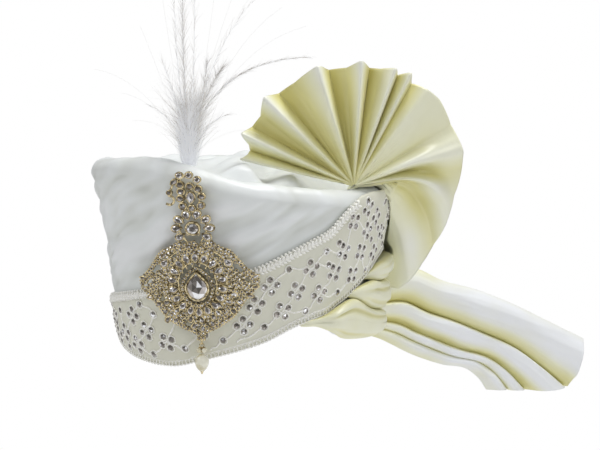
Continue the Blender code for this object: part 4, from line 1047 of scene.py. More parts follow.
def fanCorner(u, v):
    at = u * (len(fanRows) - 1)
    turn, reach, lean, crease = curvePlace(fanRows, at)
    row = min(int(at), len(fanRows) - 2)  # the pleats are nearly straight between their edges
    before, after, share = fanRows[row], fanRows[row + 1], at - row
    crease = 0.30 * crease + 0.70 * (before[3] + (after[3] - before[3]) * share)
    reach = 0.15 * reach + 0.85 * (before[1] + (after[1] - before[1]) * share)
    bend = math.radians(turn)
    spoke = faceAcross * math.sin(bend) + Vector((0, 0, math.cos(bend)))
    start = fanRoot + spoke * fanLook["hub"]
    start.z += fanLook["rootDrop"] + fanLook["hubLift"]
    end = fanRoot + spoke * reach * fanLook["reach"] - faceFront * lean * fanLook["reach"]
    hang = smoothStep((turn - 60) / 70)
    control = start.lerp(end, 0.5)
    control.z += fanLook["hang"] * fanLook["reach"] * hang
    bow = fanLook["bow"] * math.sin(math.pi * min(1.0, max(0.0, turn - 66) / 98))
    control += (faceAcross + faceFront * 0.3) * bow * fanLook["reach"]
    place = start * (1 - v) ** 2 + control * 2 * v * (1 - v) + end * v**2
    depth = fanLook["pleat"] * crease * (0.25 + 0.60 * math.sin(math.pi * 0.6 * v))
    depth *= min(1.0, 3 * v + 0.12)
    streak = fanLook["streaks"][0] * wrinkle(turn / 2.3, v * 1.4, 6.1) * (1 - 0.6 * v)
    streak += fanLook["streaks"][1] * wrinkle(turn / 9.0, v * 2.6, 2.9) * v
    hollow = 0.0
    for middle, away, wide, long, deep in fanHollows:
        hollow += deep * hill(turn - middle, wide) * hill(v - away, long)
    place += faceFront * (depth + streak - hollow)
    # painted light and shade: ridges lighter and valleys darker, darker near the hub and in the
    # hollows, and the hanging right-hand part lighter
    back = smoothStep((turn - 24) / 14)
    fold = 0.50 - (0.58 - 0.26 * back) * crease * (0.35 + 0.65 * v) + 0.15 * (1 - v) ** 2
    fold += 34 * hollow - 0.32 * back
    margin = bandLook["gap"] + bandLook["thickness"] + fanLook["cloth"] / 2
    return clearOfCap(place, margin + fanLook["clearance"]), fold


fan = finishPiece(
    "fanCloth",
    clothGrid(fanLook["columns"], fanLook["rows"], fanCorner),
    ivorySatin,
)
thicken(fan, fanLook["cloth"])
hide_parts("fan")
print("fan made")

# tail
tailLook = {
    "length": 0.190,
    "cloth": 0.0016,
    "pleat": 0.0058,
    "heading": 65.0,
    "startAngle": 163.0,
    "startHeight": 0.034,
    "startOff": 0.0110,
    "corner": 0.28,
    "cornerPlace": 0.42,
    "warp": 0.018,
    "columns": 230,
    "rows": 170,
}
tailRows = (  # along top, top, along foot, foot
    (0.02, 0.190, 0.00, -0.030), (0.12, 0.248, 0.06, -0.050), (0.25, 0.268, 0.13, -0.085),
    (0.40, 0.200, 0.21, -0.129), (0.57, 0.150, 0.30, -0.170), (0.74, 0.083, 0.40, -0.205),
    (0.90, 0.009, 0.51, -0.228), (1.02, -0.045, 0.59, -0.285), (1.12, -0.085, 0.64, -0.352),
)
tailPleats = (  # across, relief, painted crease shade
    (0.00, -0.3, -0.1), (0.05, 0.3, -0.4), (0.14, 0.8, -0.6), (0.26, 0.7, -0.3),
    (0.35, 0.2, 0.85), (0.41, -0.3, 1.35), (0.445, -0.9, 1.35), (0.460, 0.5, 0.2),
    (0.48, 0.8, -0.5), (0.58, 0.8, -0.5), (0.64, 0.5, 0.45), (0.68, 0.0, 1.20),
    (0.715, -0.5, 1.3), (0.735, -0.8, 1.35), (0.750, 0.3, 0.2), (0.77, 0.6, -0.4),
    (0.82, 0.4, 0.0), (0.85, -0.3, 1.2), (0.868, 0.3, 0.1), (0.90, 0.6, -0.3),
    (0.95, 0.3, 0.1), (1.00, -0.2, 0.2),
)
tailTurn = math.radians(tailLook["heading"])
tailRun = Vector((math.cos(tailTurn), math.sin(tailTurn), 0))
tailSide = Vector((tailRun.y, -tailRun.x, 0))
tailStart, _ = skinPlace(tailLook["startAngle"], tailLook["startHeight"], tailLook["startOff"])
tailStart.z = 0.0
upward = Vector((0, 0, 1))


def tailCorner(u, v):  # u across from the top edge, v along
    alongTop, top, alongFoot, foot = curvePlace(tailRows, v * (len(tailRows) - 1))
    length = tailLook["length"]
    upper = tailStart + (tailRun * alongTop + upward * top) * length
    lower = tailStart + (tailRun * alongFoot + upward * foot) * length
    place = upper.lerp(lower, u)
    middle = tailLook["cornerPlace"]
    peak = 1 - abs(u - middle) / max(middle, 1 - middle)
    peak = max(0.0, peak) - 0.10 * hill(u - middle, 0.10)
    ahead = (tailRun - upward) * 0.71 * tailLook["corner"] * length
    place += ahead * peak * v**4
    inside = smoothStep(6 * u) * smoothStep(6 * (1 - u))
    flow = u + tailLook["warp"] * wrinkle(v * 3.5, u * 2.0, 6.6) * inside
    relief = tableValue(tailPleats, flow, 1)
    ripple = 0.20 * wrinkle(u * 9, v * 3.0, 1.3) + 0.07 * wrinkle(u * 22 + v * 4, v * 6, 4.1)
    ripple += 0.34 * wrinkle(u * 4 - v * 3, v * 8, 8.2) * smoothStep(v * 3)
    place += tailSide * (relief + ripple) * tailLook["pleat"] * (0.45 + 0.55 * smoothStep(2.5 * v))
    # painted shade: darker in the creases and near the tail's start, lighter further along, and
    # shaded with the ripples
    fold = 0.05 + 0.55 * tableValue(tailPleats, flow, 2) - 0.5 * ripple
    fold += 0.30 * (1 - v) ** 2 - 0.24 * smoothStep(v * 1.6)
    return place, fold


tail = finishPiece(
    "tailCloth",
    clothGrid(tailLook["columns"], tailLook["rows"], tailCorner),
    ivorySatin,
)
thicken(tail, tailLook["cloth"])
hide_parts("tail")
print("tail made")

# plume: fine barbs along bent quills, over a thick soft root
plume = {
    "angle": 27.5,
    "share": 0.845,
    "height": 0.180,
    "arch": 0.38,
    "branch": 0.012,
    "barbSize": 0.00011,
    "barbs": 130,
    "barbSteps": 5,
    "quill": 0.00026,
    "stem": 0.0030,
    "stemRises": (-0.0135, 0.0, 0.012, 0.024, 0.036, 0.046),
}
locks = (  # across, rise, front, bow, how full, barb length
    (-0.02, 1.00, 0.00, -0.02, 2.6, 0.022), (0.03, 0.92, 0.02, 0.02, 0.8, 0.018),
    (-0.06, 0.80, -0.03, -0.03, 0.5, 0.018), (0.51, 0.49, -0.02, -0.19, 2.4, 0.015),
    (0.31, 0.76, 0.03, -0.08, 0.35, 0.016), (0.08, 0.47, -0.04, 0.01, 1.5, 0.018),
    (0.15, 0.45, 0.05, -0.03, 2.4, 0.018), (-0.11, 0.48, 0.04, 0.01, 0.5, 0.016),
    (-0.17, 0.28, -0.05, 0.02, 0.4, 0.012), (0.17, 0.25, 0.06, -0.01, 0.4, 0.012),
    (0.02, 0.42, 0.10, 0.00, 0.5, 0.014), (0.02, 0.38, -0.10, 0.00, 0.4, 0.014),
)
strands = (  # across, rise, bow: single long barbs
    (-0.40, 0.44, 0.02), (-0.29, 0.34, 0.02), (-0.20, 0.62, -0.02), (0.40, 0.70, -0.05),
    (0.50, 0.62, -0.08), (0.24, 0.86, -0.02), (0.34, 0.84, -0.06), (-0.12, 0.86, -0.02),
    (0.12, 0.80, 0.02), (0.30, 0.16, 0.05), (-0.24, 0.22, 0.02), (0.20, 0.66, -0.04),
)
brushes = (  # barbs, rise, reach, climb, length, droop, shade, size: the root, then loose barbs
    (800, (0.000, 0.038), 0.0055, (2.2, 6.0), (0.014, 0.032), (-0.1, 0.1), 0.18, 1.9),
    (620, (0.012, 0.050), 0.006, (0.7, 2.8), (0.014, 0.042), (0.0, 0.3), 1.0, 1.0),
)
plumeFoot = ovalPlace(
    plume["angle"], plume["share"], crestHeight(plume["angle"]) - cap["recess"] / 2
)


def lockPlace(lock, share):
    side, rise, ahead, bow = lock[:4]
    start = plumeFoot + upward * plume["branch"]
    end = plumeFoot + (faceAcross * side + faceFront * ahead + upward * rise) * plume["height"]
    control = start.lerp(end, 0.5) + faceAcross * bow * plume["height"]
    control += upward * abs(side) * plume["arch"] * plume["height"]
    return start * (1 - share) ** 2 + control * 2 * share * (1 - share) + end * share**2


luck = random.Random(21)
barbShape = bmesh.new()
barbTint = barbShape.verts.layers.float.new("shade")


def addBarb(start, way, length, droop, shade, size=1.0):
    path = []
    sideways = way.orthogonal().normalized()
    for step in range(plume["barbSteps"] + 1):
        share = step / plume["barbSteps"]
        sway = sideways * length * 0.06 * math.sin(3.3 * share + droop * 40)
        sag = upward * droop * length * share**2
        path.append(start + way * length * share - sag + sway * share)
    made = addTube(barbShape, path, lambda share: size * plume["barbSize"] * (1.15 - share), 3)
    for corner in made:
        corner[barbTint] = shade


for lock in locks:
    reach, count = lock[5], plume["barbs"] * lock[4]
    for number in range(int(count)):
        share = 0.06 + 0.93 * (number + luck.random()) / count
        here = lockPlace(lock, share)
        ahead, behind = lockPlace(lock, min(1, share + 0.02)), lockPlace(lock, share - 0.02)
        along = (ahead - behind).normalized()
        turn = luck.uniform(0, math.tau)
        out = (faceAcross * math.cos(turn) + faceFront * 0.7 * math.sin(turn)).normalized()
        spreadOut = luck.uniform(0.12, 0.55)
        way = (along * (1 - 0.45 * spreadOut) + out * spreadOut).normalized()
        length = reach * luck.uniform(0.35, 1.25) * (1.1 - 0.5 * share)
        addBarb(here, way, length, luck.uniform(-0.08, 0.22), luck.random())
for count, rises, reach, climbs, lengths, droops, shade, size in brushes:
    for number in range(count):
        rise = luck.uniform(*rises)
        turn = luck.uniform(0, math.tau)
        out = faceAcross * math.cos(turn) + faceFront * math.sin(turn)
        start = plumeFoot + upward * rise + out * luck.uniform(0.0, reach)
        way = (upward * luck.uniform(*climbs) + out).normalized()
        length, droop = luck.uniform(*lengths), luck.uniform(*droops)
        addBarb(start, way, length, droop, shade * luck.random(), size)
for across, rise, bow in strands:
    path = [lockPlace((across, rise, 0.02, bow), step / 14) for step in range(15)]
    for corner in addTube(barbShape, path, plume["barbSize"] * 0.8, 3):
        corner[barbTint] = 0.35
plumeBarbs = finishPiece("plumeBarbs", barbShape, featherWhite)
quillShape = bmesh.new()
for lock in locks:
    path = [lockPlace(lock, step / 12) for step in range(13)]
    addTube(quillShape, path, lambda share: plume["quill"] * (1.1 - share), 6)
stem = [plumeFoot + upward * rise for rise in plume["stemRises"]]
addTube(quillShape, stem, lambda share: plume["stem"] * (1.02 - 0.85 * share), 12)
closeTubes(quillShape)
finishPiece("plumeQuills", quillShape, featherWhite)
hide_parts("plume")
print("plume made")

# brooch
brooch = {
    "width": 0.089,
    "height": 0.137,
    "plate": 0.0016,
    "angle": 32.7,
    "middle": 0.0728,
    "lean": 6.5,
    "turn": 2.5,
    "lift": 0.0078,
    "bigRim": 0.00080,
    "rim": 0.00050,
    "ringRim": 0.00052,
    "seedRim": 0.00034,
    "fillRim": 0.00036,
    "hookRim": 0.00045,
    "rimPlace": 0.7,
    "cupSides": 10,
    "cupFoot": 1.12,
    "cupTop": 0.3,
    "cupLift": 0.0002,
    "wire": 0.0007,
    "ovalWire": 0.0008,
    "rayWire": 0.0006,
    "wireRise": 0.0008,
    "hookWire": 0.0010,
    "hookShift": 0.045,
    "smallHeight": 0.0013,
    "hookHeight": 0.0012,
    "seedHeight": 0.0009,
    "fillHeight": 0.0010,
    "granule": 0.00075,
    "granulePitch": 0.0022,
}
broad, plate = brooch["width"], brooch["plate"]
outlineRows = (  # rise, half width
    (-0.334, 0.000), (-0.328, 0.045), (-0.308, 0.062), (-0.290, 0.055), (-0.272, 0.130),
    (-0.252, 0.280), (-0.223, 0.420), (-0.190, 0.560), (-0.153, 0.650), (-0.102, 0.750),
    (-0.066, 0.860), (-0.022, 0.965), (0.022, 1.000), (0.058, 0.920), (0.095, 0.800),
    (0.139, 0.700), (0.175, 0.620), (0.204, 0.540), (0.226, 0.420), (0.250, 0.330),
    (0.272, 0.280), (0.300, 0.300), (0.345, 0.315), (0.385, 0.270), (0.418, 0.180), (0.445, 0.150),
    (0.482, 0.175), (0.533, 0.190), (0.584, 0.160), (0.628, 0.175), (0.657, 0.145), (0.675, 0.000),
)
namedStones = (  # node, across, rise, length, width, turn, point, seat, height
    ("centre_stone", 0.000, 0.000, 0.240, 0.172, 0, 1.0, 2.3, 2.0),
    ("flower_stone", 0.000, 0.515, 0.096, 0.096, 0, 0.0, 1.6, 1.6),
    ("stem_stone", 0.004, 0.785, 0.096, 0.064, 180, 1.0, 1.3, 1.3),
    ("top_stone_1", -0.067, 0.980, 0.048, 0.048, 0, 0.0, 1.1, 1.1),
    ("top_stone_2", 0.005, 0.982, 0.048, 0.048, 0, 0.0, 1.1, 1.1),
    ("top_stone_3", 0.062, 0.940, 0.048, 0.048, 0, 0.0, 1.1, 1.1),
    ("bird_stone_1", -0.252, 0.205, 0.078, 0.058, 40, 1.0, 1.1, 1.2),
    ("bird_stone_2", 0.252, 0.205, 0.078, 0.058, -40, 1.0, 1.1, 1.2),
)
stoneRings = (  # node, places, filled, first turn, rise, half sizes, length, width, growth
    ("ring_stone", 18, 18, 0, 0.010, 0.202, 0.244, 0.078, 0.052, 1.0),
    ("petal_stone", 10, 8, -126, 0.515, 0.126, 0.126, 0.058, 0.044, 1.28),
)
smallStones = (  # across, rise, length and width in mm, turn, point
    (-5.9, 80.1, 4.5, 4.5, 0, 0), (0.5, 78.9, 4.5, 4.5, 0, 0), (5.8, 76.6, 4.5, 4.5, 0, 0),
    (-5.7, 74.8, 4.5, 4.5, 0, 0), (7.7, 70.7, 4.5, 4.5, 0, 0), (-6.5, 69.3, 4.5, 4.5, 0, 0),
    (-5.4, 63.3, 4.5, 4.5, 0, 0), (0.6, 61.5, 4.5, 4.5, 0, 0), (7, 63.6, 4.5, 4.5, 0, 0),
    (-30.3, -14.7, 5, 3.6, 67, 1), (-25.6, -20.6, 5, 3.6, 54, 1), (-23.9, -13.5, 5, 3.6, 64, 1),
    (-24.5, -27.1, 5, 3.6, 44, 1), (-18.1, -27.7, 5, 3.6, 35, 1), (-16.3, -19.4, 5, 3.6, 43, 1),
    (25.8, -7.9, 5, 3.6, 283, 1), (21.8, -13.5, 5, 3.6, 298, 1), (30, -14.1, 5, 3.6, 292, 1),
    (14.6, -15.3, 5, 3.6, 312, 1), (13.6, -21.8, 5, 3.6, 326, 1), (24.8, -21.2, 5, 3.6, 308, 1),
    (-6.8, -26.5, 5, 3.6, 16, 1), (1.4, -27.4, 5, 3.6, 357, 1), (10.1, -25.1, 5, 3.6, 336, 1),
    (-4.6, -32.2, 5, 3.6, 9, 1), (1.7, -34.4, 5, 3.6, 357, 1), (9, -30.6, 5, 3.6, 342, 1),
    (-42, 5.5, 5.2, 2.3, 282, 1), (42, 5.5, 5.2, 2.3, 78, 1), (-41.5, -3, 5.2, 2.3, 271, 1),
    (41.5, -3, 5.2, 2.3, 89, 1), (-37.7, -10, 5.2, 2.3, 261, 1), (37.7, -10, 5.2, 2.3, 99, 1),
)
broochRails = (  # across and rise in mm
    (3.0, 30.0), (5.5, 36.0), (8.0, 40.5), (9.5, 46.0), (7.5, 52.0), (3.5, 56.0), (4.5, 62.0),
    (6.5, 70.0), (5.5, 78.0), (5.8, 86.0),
)
broochGaps = (  # across, rise, half width and half length in mm, turn: open places of the wings
    (29.0, 13.0, 1.6, 5.0, -35), (33.5, 4.0, 1.5, 6.0, -70), (30.0, -4.0, 1.5, 6.0, -80),
    (27.5, -11.0, 1.4, 4.5, -60), (16.3, 25.0, 1.8, 4.0, -40), (41.0, 0.5, 1.2, 3.6, -85),
)
florets = (  # across and rise in mm
    (-11.3, 31.2), (-1.0, 32.2), (11.1, 32.2), (-4.6, 25.8), (4.8, 26.6),
)
seedRings = (  # across, rise, half across, half rise, stones, size, first turn, point
    (-0.0224, 0.0182, 0.0054, 0.0054, 12, 0.0020, 0.0, 0.0),
    (0.0224, 0.0182, 0.0054, 0.0054, 12, 0.0020, 0.0, 0.0),
    (0.0, -0.0010, 0.0109, 0.0150, 30, 0.0019, 0.0, 0.45),
    (0.0, 0.0009, 0.0229, 0.0266, 46, 0.0019, 0.0, 0.0),
    (0.0, 0.0006, 0.0254, 0.0292, 52, 0.0019, 0.0, 0.0),
)
seedRows = (  # inset from the edge, pitch, size
    (0.0015, 0.0026, 0.0021), (0.0042, 0.0027, 0.0020), (0.0069, 0.0026, 0.0021),
    (0.0096, 0.0027, 0.0020), (0.0123, 0.0027, 0.0020), (0.0150, 0.0027, 0.0020),
    (0.0177, 0.0027, 0.0020), (0.0204, 0.0027, 0.0020),
)
hookPath = (  # across and rise as shares of the width
    (-0.070, 0.975), (-0.110, 0.960), (-0.151, 0.927), (-0.178, 0.875), (-0.195, 0.834),
    (-0.203, 0.806), (-0.176, 0.792), (-0.170, 0.752), (-0.200, 0.724), (-0.232, 0.735),
)
hookStones = (  # across and rise as shares of the width, length, width, turn, point
    (-0.108, 0.925, 0.0056, 0.0037, 235, 1.0), (-0.152, 0.832, 0.0030, 0.0030, 0, 0.0),
)


def broochPlace(across, rise, out):  # flat places bent round the cap
    turn = math.radians(brooch["turn"])
    right = across * math.cos(turn) - rise * math.sin(turn)
    up = across * math.sin(turn) + rise * math.cos(turn)
    halfX = cap["width"] / 2 * spread(brooch["middle"])
    halfY = cap["length"] / 2 * spread(brooch["middle"])

    def pace(angle):
        return math.hypot(halfX * math.cos(angle), halfY * math.sin(angle))

    angle = math.radians(brooch["angle"])
    angle += right / pace(angle + right / (2 * pace(angle)))
    level = Vector((math.sin(angle) / halfX, -math.cos(angle) / halfY, 0)).normalized()
    lean = math.radians(brooch["lean"])
    foot = Vector((halfX * math.sin(angle), -halfY * math.cos(angle), brooch["middle"]))
    normal = level * math.cos(lean) - Vector((0, 0, math.sin(lean)))
    upright = level * math.sin(lean) + Vector((0, 0, math.cos(lean)))
    return foot + upright * up + normal * (brooch["lift"] + out)


def halfWidthAt(rise):
    return tableValue(outlineRows, rise / brooch["height"], 1) * brooch["width"] / 2


def plateEdge(low, span, steps):  # half width and rise along the plate's edge
    rises = [(low + span * step / steps) * brooch["height"] for step in range(steps + 1)]
    return [(halfWidthAt(rise), rise) for rise in rises]


goldShape = bmesh.new()
gemShape = bmesh.new()
gemReflection = gemShape.loops.layers.float.new("facetReflection")
luck = random.Random(11)


def setStone(across, rise, length, width, turn, point, seat, height, detail, rim, sides=16):
    bend = math.radians(turn)
    halfWide, halfLong = width / 2, length / 2

    def lay(x, y, z):
        return broochPlace(
            across + x * math.cos(bend) + y * math.sin(bend),
            rise - x * math.sin(bend) + y * math.cos(bend),
            z,
        )

    def ringAround(count, wide, long, level):
        ring = []
        for step in range(count):
            at = math.tau * step / count
            narrow = dropWidth(math.cos(at), point)
            ring.append(lay(wide * math.sin(at) * narrow, long * math.cos(at), level))
        return ring

    off, count = brooch["rimPlace"] * rim, brooch["cupSides"]
    addTube(goldShape, ringAround(sides, halfWide + off, halfLong + off, seat), rim, 6, True)
    foot, off = brooch["cupFoot"], brooch["cupTop"] * rim
    low = ringAround(count, foot * (halfWide + rim), foot * (halfLong + rim), brooch["cupLift"])
    top = ringAround(count, halfWide + off, halfLong + off, seat)
    base = [goldShape.verts.new(corner) for corner in low]
    over = [goldShape.verts.new(corner) for corner in top]
    for step in range(count):
        following = (step + 1) % count
        goldShape.faces.new((base[following], base[step], over[step], over[following]))
    goldShape.faces.new(base)
    goldShape.faces.new(list(reversed(over)))
    addStone(
        gemShape, gemReflection, (halfWide, halfLong, height, point),
        lambda x, y, z: lay(x, y, seat + z), luck, detail,
    )


taken = []  # across, rise and radius of what is set already
for name, across, rise, length, width, turn, point, seat, height in namedStones:
    big = name in ("centre_stone", "flower_stone")
    setStone(
        across * broad, rise * broad, length * broad, width * broad, turn, point, seat * plate,
        0.8 * height * plate, 2, brooch["bigRim"] if big else brooch["rim"], 28 if big else 16,
    )
    taken.append((across * broad, rise * broad, length * broad / 2))
for name, places, filled, first, rise, halfAcross, halfRise, length, width, grown in stoneRings:
    for number in range(filled):
        turn = math.radians(first + 360 * number / places)
        across = halfAcross * math.sin(turn) * broad
        up = (rise + halfRise * math.cos(turn)) * broad
        setStone(
            across, up, grown * length * broad, grown * width * broad, math.degrees(turn) + 180,
            1.0, 1.2 * plate, 1.1 * plate, 2, brooch["ringRim"],
        )
        taken.append((across, up, length * broad / 2))
for across, rise, length, width, turn, point in smallStones:
    setStone(
        across / 1000, rise / 1000, length / 1000, width / 1000, turn, point, 1.25 * plate,
        brooch["smallHeight"], 1, brooch["rim"], 12,
    )
    taken.append((across / 1000, rise / 1000, length / 2000))

# seed stones: florets, circles round the side drops and rows round the centre
seeds = []


def addSeedRing(across, rise, halfAcross, halfRise, count, size, first, point):
    for number in range(count):
        turn = math.tau * number / count + first
        narrow = 1.0 - point * max(0.0, math.cos(turn)) ** 2
        aside = halfAcross * math.sin(turn) * narrow
        seeds.append((across + aside, rise + halfRise * math.cos(turn), size))


for across, rise in florets:
    seeds.append((across / 1000, rise / 1000, 0.0018))
    addSeedRing(across / 1000, rise / 1000, 0.0026, 0.0026, 6, 0.0021, 0.3, 0.0)
for row in seedRings:
    addSeedRing(*row)


def isFree(across, up, size, share):
    for x, y, half, long, turn in broochGaps:
        bend = math.radians(turn)
        side, away = abs(across) * 1000 - x, up * 1000 - y
        first = side * math.cos(bend) - away * math.sin(bend)
        second = side * math.sin(bend) + away * math.cos(bend)
        if math.hypot(first / half, second / long) < 1:
            return False
    return all(
        math.hypot(across - x, up - y) >= share * (size / 2 + other) for x, y, other in taken
    )


for across, up, size in seeds:
    if isFree(across, up, size, 0.80):
        setStone(
            across, up, size, size, 0, 0, 1.2 * plate, brooch["seedHeight"], 1,
            brooch["seedRim"], 8,
        )
        taken.append((across, up, size / 2 + 0.0001))

# rows of seed stones that fill the plate from its scalloped edge inwards
edgePath = plateEdge(-0.315, 0.60, 699)
for inset, pitch, size in seedRows:
    gone = pitch / 2
    for before, after in zip(edgePath, edgePath[1:]):
        stepAcross, stepRise = after[0] - before[0], after[1] - before[1]
        stride = math.hypot(stepAcross, stepRise)
        gone += stride
        if gone < pitch:
            continue
        across = before[0] - stepRise / stride * inset
        up = before[1] + stepAcross / stride * inset
        if math.hypot(across / 0.0150, up / 0.0180) < 1 or across < 0.0012:
            continue
        if halfWidthAt(up) - across < 0.6 * inset:
            continue
        if not isFree(across, up, size, 0.93):
            continue
        gone = 0.0
        for side in (-1, 1):
            seat = (1.15 + 0.25 * luck.random()) * plate
            setStone(
                side * across, up, size, size, 0, 0, seat, brooch["fillHeight"], 1,
                brooch["fillRim"], 8,
            )
            taken.append((side * across, up, size / 2))

# wires that hold the settings together: the stem's two sides, ovals, rays and the scalloped edge
for side in (-1, 1):
    rail = [
        broochPlace(side * across / 1000, rise / 1000, 0.5 * plate) for across, rise in broochRails
    ]
    addTube(goldShape, smoothPath(rail, 5), brooch["wire"], 6)
    edge = [
        broochPlace(side * (half - 0.0008), rise, 0.5 * plate)
        for half, rise in plateEdge(-0.325, 0.535, 160)
    ]
    addTube(goldShape, edge, brooch["wire"], 6)
for halfAcross, halfRise in ((0.0140, 0.0180), (0.0212, 0.0248), (0.0268, 0.0300)):
    oval = []
    for step in range(60):
        turn = math.tau * step / 60
        up = brooch["wireRise"] + halfRise * math.cos(turn)
        oval.append(broochPlace(halfAcross * math.sin(turn), up, 0.5 * plate))
    addTube(goldShape, oval, brooch["ovalWire"], 6, True)
for number in range(18):
    turn = math.tau * (number + 0.5) / 18
    ray = []
    for reach in (0.0145, 0.020, 0.025, 0.030):
        up = brooch["wireRise"] + reach * math.cos(turn)
        ray.append(broochPlace(reach * math.sin(turn) * 0.88, up, 0.5 * plate))
    addTube(goldShape, ray, brooch["rayWire"], 5)

# curl beside the tip, with a drop and a round stone
hook = [
    broochPlace((across + brooch["hookShift"]) * broad, rise * broad, 0.9 * plate)
    for across, rise in hookPath
]
addTube(goldShape, smoothPath(hook, 4), brooch["hookWire"], 8)
for across, rise, length, width, turn, point in hookStones:
    setStone(
        across * broad, rise * broad, length, width, turn, point, 1.7 * plate,
        brooch["hookHeight"], 1, brooch["hookRim"], 10,
    )

# granules on the scallops of the edge
walked = 0.0
edgeOuter = plateEdge(-0.33, 0.545, 800)
for before, after in zip(edgeOuter, edgeOuter[1:]):
    walked += math.hypot(after[0] - before[0], after[1] - before[1])
    if walked < brooch["granulePitch"]:
        continue
    walked = 0.0
    for side in (-1, 1):
        centre = broochPlace(side * (after[0] + 0.0002), after[1], 1.1 * plate)
        addGranule(goldShape, 1, brooch["granule"], centre)

closeTubes(goldShape)
broochSettings = finishPiece("broochSettings", goldShape, antiqueGold)
broochStones = finishPiece("broochStones", gemShape, clearStone, smooth=False)
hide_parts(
    *[row[0] for row in namedStones],
    *[f"{row[0]}_{number + 1:02d}" for row in stoneRings for number in range(row[2])],
)
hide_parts("brooch_frame")
bpy.data.objects["pin"].data.materials.clear()
bpy.data.objects["pin"].data.materials.append(steelPin)
print("brooch stones:", len(taken))

# pearl drop
drop = {
    "linkRise": -0.0425,
    "linkRadius": 0.0026,
    "wire": 0.0008,
    "gap": 0.0003,
    "pearlHeight": 0.0150,
    "pearlWide": 0.0108,
    "core": 0.0021,
    "bead": 0.00065,
    "beadReach": 0.0023,
    "beadRise": 0.0016,
    "ringSteps": 28,
    "smallPearl": 0.00190,
    "tip": 0.0013,
    "tipBead": 0.0007,
}
pearlProfile = (  # height, radius
    (0.000, 0.00), (-0.004, 0.16), (-0.050, 0.42), (-0.180, 0.80), (-0.360, 1.00), (-0.560, 0.97),
    (-0.760, 0.72), (-0.900, 0.38), (-0.940, 0.00),
)
hang = broochPlace(0.0, drop["linkRise"], brooch["plate"] / 2)
dropOut = Vector((hang.x / cap["width"] ** 2, hang.y / cap["length"] ** 2, 0)).normalized()
dropAlong = upward.cross(dropOut)
eyeRadius = 0.65 * drop["linkRadius"]
eyeCentre = hang - upward * (2 * drop["linkRadius"] - drop["wire"] - drop["gap"] + eyeRadius)
core = eyeCentre - upward * (eyeRadius + 0.8 * drop["linkRadius"])
pearlTop = core - upward * (drop["linkRadius"] + drop["gap"])


def addRound(shape, centre, first, second, radius, wire):
    ring = []
    for step in range(drop["ringSteps"]):
        turn = math.tau * step / drop["ringSteps"]
        ring.append(centre + (first * math.cos(turn) + second * math.sin(turn)) * radius)
    addTube(shape, ring, wire / 2, 10, True)


ringShape = bmesh.new()
ringCentre = hang - upward * drop["linkRadius"]
addRound(ringShape, ringCentre, dropOut, upward, drop["linkRadius"], drop["wire"])
closeTubes(ringShape)
pearlRing = finishPiece("pearlRing", ringShape, antiqueGold)
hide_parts("pearl_ring")

coreShape = bmesh.new()
addRound(coreShape, eyeCentre, dropAlong, upward, eyeRadius, drop["wire"])
closeTubes(coreShape)
addBall(coreShape, 20, 12, drop["core"], core)
for number in range(10):
    turn = math.tau * number / 10
    bead = core + (dropOut * math.cos(turn) + dropAlong * math.sin(turn)) * drop["beadReach"]
    addGranule(coreShape, 2, drop["bead"], bead + upward * drop["beadRise"])
tip = pearlTop - upward * 0.95 * drop["pearlHeight"]
addBall(coreShape, 16, 10, drop["tip"], tip, flatten=0.9)
addBall(coreShape, 12, 8, drop["tipBead"], tip - upward * 0.0014)
finishPiece("clusterCore", coreShape, antiqueGold)

clusterShape = bmesh.new()
for number in range(4):
    turn = math.tau * (number + 0.5) / 4
    side = (dropOut * math.cos(turn) + dropAlong * math.sin(turn)) * drop["linkRadius"] * 1.1
    addBall(clusterShape, 18, 12, drop["smallPearl"], core + side)
clusterPearls = finishPiece("clusterPearls", clusterShape, pearlGloss)
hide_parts("pearl_cluster")

pearlShape = bmesh.new()
made = bmesh.ops.create_uvsphere(pearlShape, u_segments=36, v_segments=28, radius=1)["verts"]
for corner in made:
    polar = math.acos(max(-1.0, min(1.0, corner.co.z)))
    height, wide = curvePlace(pearlProfile, polar / math.pi * (len(pearlProfile) - 1))
    flat = math.hypot(corner.co.x, corner.co.y) or 1.0
    wide *= drop["pearlWide"] / 2
    corner.co = Vector((
        pearlTop.x + corner.co.x / flat * wide, pearlTop.y + corner.co.y / flat * wide,
        pearlTop.z + height * drop["pearlHeight"],
    ))
pearlDrop = finishPiece("pearlDrop", pearlShape, pearlGloss)
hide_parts("pearl_drop")
print("pearl drop made")

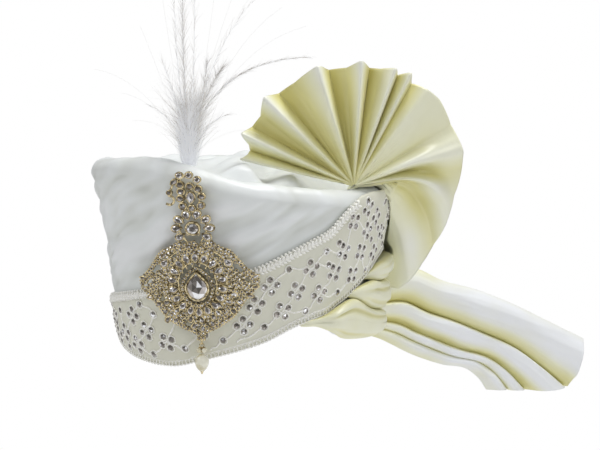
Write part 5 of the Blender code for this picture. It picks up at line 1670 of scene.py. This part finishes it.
# floor, light and camera
studio = {
    "floorHeight": -0.30,
    "world": 0.36,
    "lights": (  # name, place, size, power
        ("keyLight", (-0.55, -1.3, 1.25), 1.1, 7.6),
        ("fillLight", (1.4, 0.0, 0.7), 1.4, 4.2),
        ("topLight", (0.3, 0.5, 1.6), 0.8, 17),
    ),
    "lightTarget": (0, 0, 0.1),
    "lens": 91.0,
    "sensor": 36,
    "farthest": 20,
    "floorHalf": 6,
    "cameraPlace": (0.9312, -0.8694, 0.2811),
    "cameraTarget": (0.02095, 0.04085, 0.1001),
}
floorLook = looks["paleFloor"]
floorMaterial = newMaterial("paleFloor", floorLook["colour"], floorLook["roughness"])
floorRays = addNode(floorMaterial, "ShaderNodeLightPath")
floorGlow = addNode(floorMaterial, "ShaderNodeEmission")
floorMix = addNode(floorMaterial, "ShaderNodeMixShader")
for start, end in (
    (floorRays.outputs["Is Camera Ray"], floorMix.inputs[0]),
    (floorMaterial.node_tree.nodes["Principled BSDF"].outputs[0], floorMix.inputs[1]),
    (floorGlow.outputs[0], floorMix.inputs[2]),
    (floorMix.outputs[0], floorMaterial.node_tree.nodes["Material Output"].inputs["Surface"]),
):
    floorMaterial.node_tree.links.new(start, end)
floorShape = bmesh.new()
bmesh.ops.create_grid(floorShape, x_segments=1, y_segments=1, size=studio["floorHalf"])
bmesh.ops.translate(floorShape, verts=floorShape.verts, vec=(0, 0, studio["floorHeight"]))
floorMesh = bpy.data.meshes.new("floor")
floorShape.to_mesh(floorMesh)
floorShape.free()
floorMesh.materials.append(floorMaterial)
floor = bpy.data.objects.new("floor", floorMesh)
bpy.context.scene.collection.objects.link(floor)

world = bpy.data.worlds.new("studio")
bpy.context.scene.world = world
world.use_nodes = True
skyNodes, skyLinks = world.node_tree.nodes, world.node_tree.links
background = skyNodes["Background"]
background.inputs["Color"].default_value = (1, 1, 1, 1)
background.inputs["Strength"].default_value = studio["world"]
seen = skyNodes.new("ShaderNodeBackground")
seen.inputs["Color"].default_value = (1, 1, 1, 1)
seen.inputs["Strength"].default_value = 1.0
rays = skyNodes.new("ShaderNodeLightPath")
either = skyNodes.new("ShaderNodeMixShader")
skyLinks.new(rays.outputs["Is Camera Ray"], either.inputs[0])
skyLinks.new(background.outputs[0], either.inputs[1])
skyLinks.new(seen.outputs[0], either.inputs[2])
skyLinks.new(either.outputs[0], skyNodes["World Output"].inputs["Surface"])


def aim(item, place, target):
    item.location = place
    item.rotation_euler = (Vector(target) - Vector(place)).to_track_quat("-Z", "Y").to_euler()
    bpy.context.scene.collection.objects.link(item)


for name, place, size, power in studio["lights"]:
    lamp = bpy.data.lights.new(name, "AREA")
    lamp.shape = "DISK"
    lamp.size = size
    lamp.energy = power
    aim(bpy.data.objects.new(name, lamp), place, studio["lightTarget"])

cameraData = bpy.data.cameras.new("camera")
cameraData.lens = studio["lens"]
cameraData.sensor_width = studio["sensor"]
cameraData.clip_end = studio["farthest"]
camera = bpy.data.objects.new("camera", cameraData)
aim(camera, studio["cameraPlace"], studio["cameraTarget"])
bpy.context.scene.camera = camera
bpy.context.scene.view_settings.view_transform = "Standard"
print("studio made")
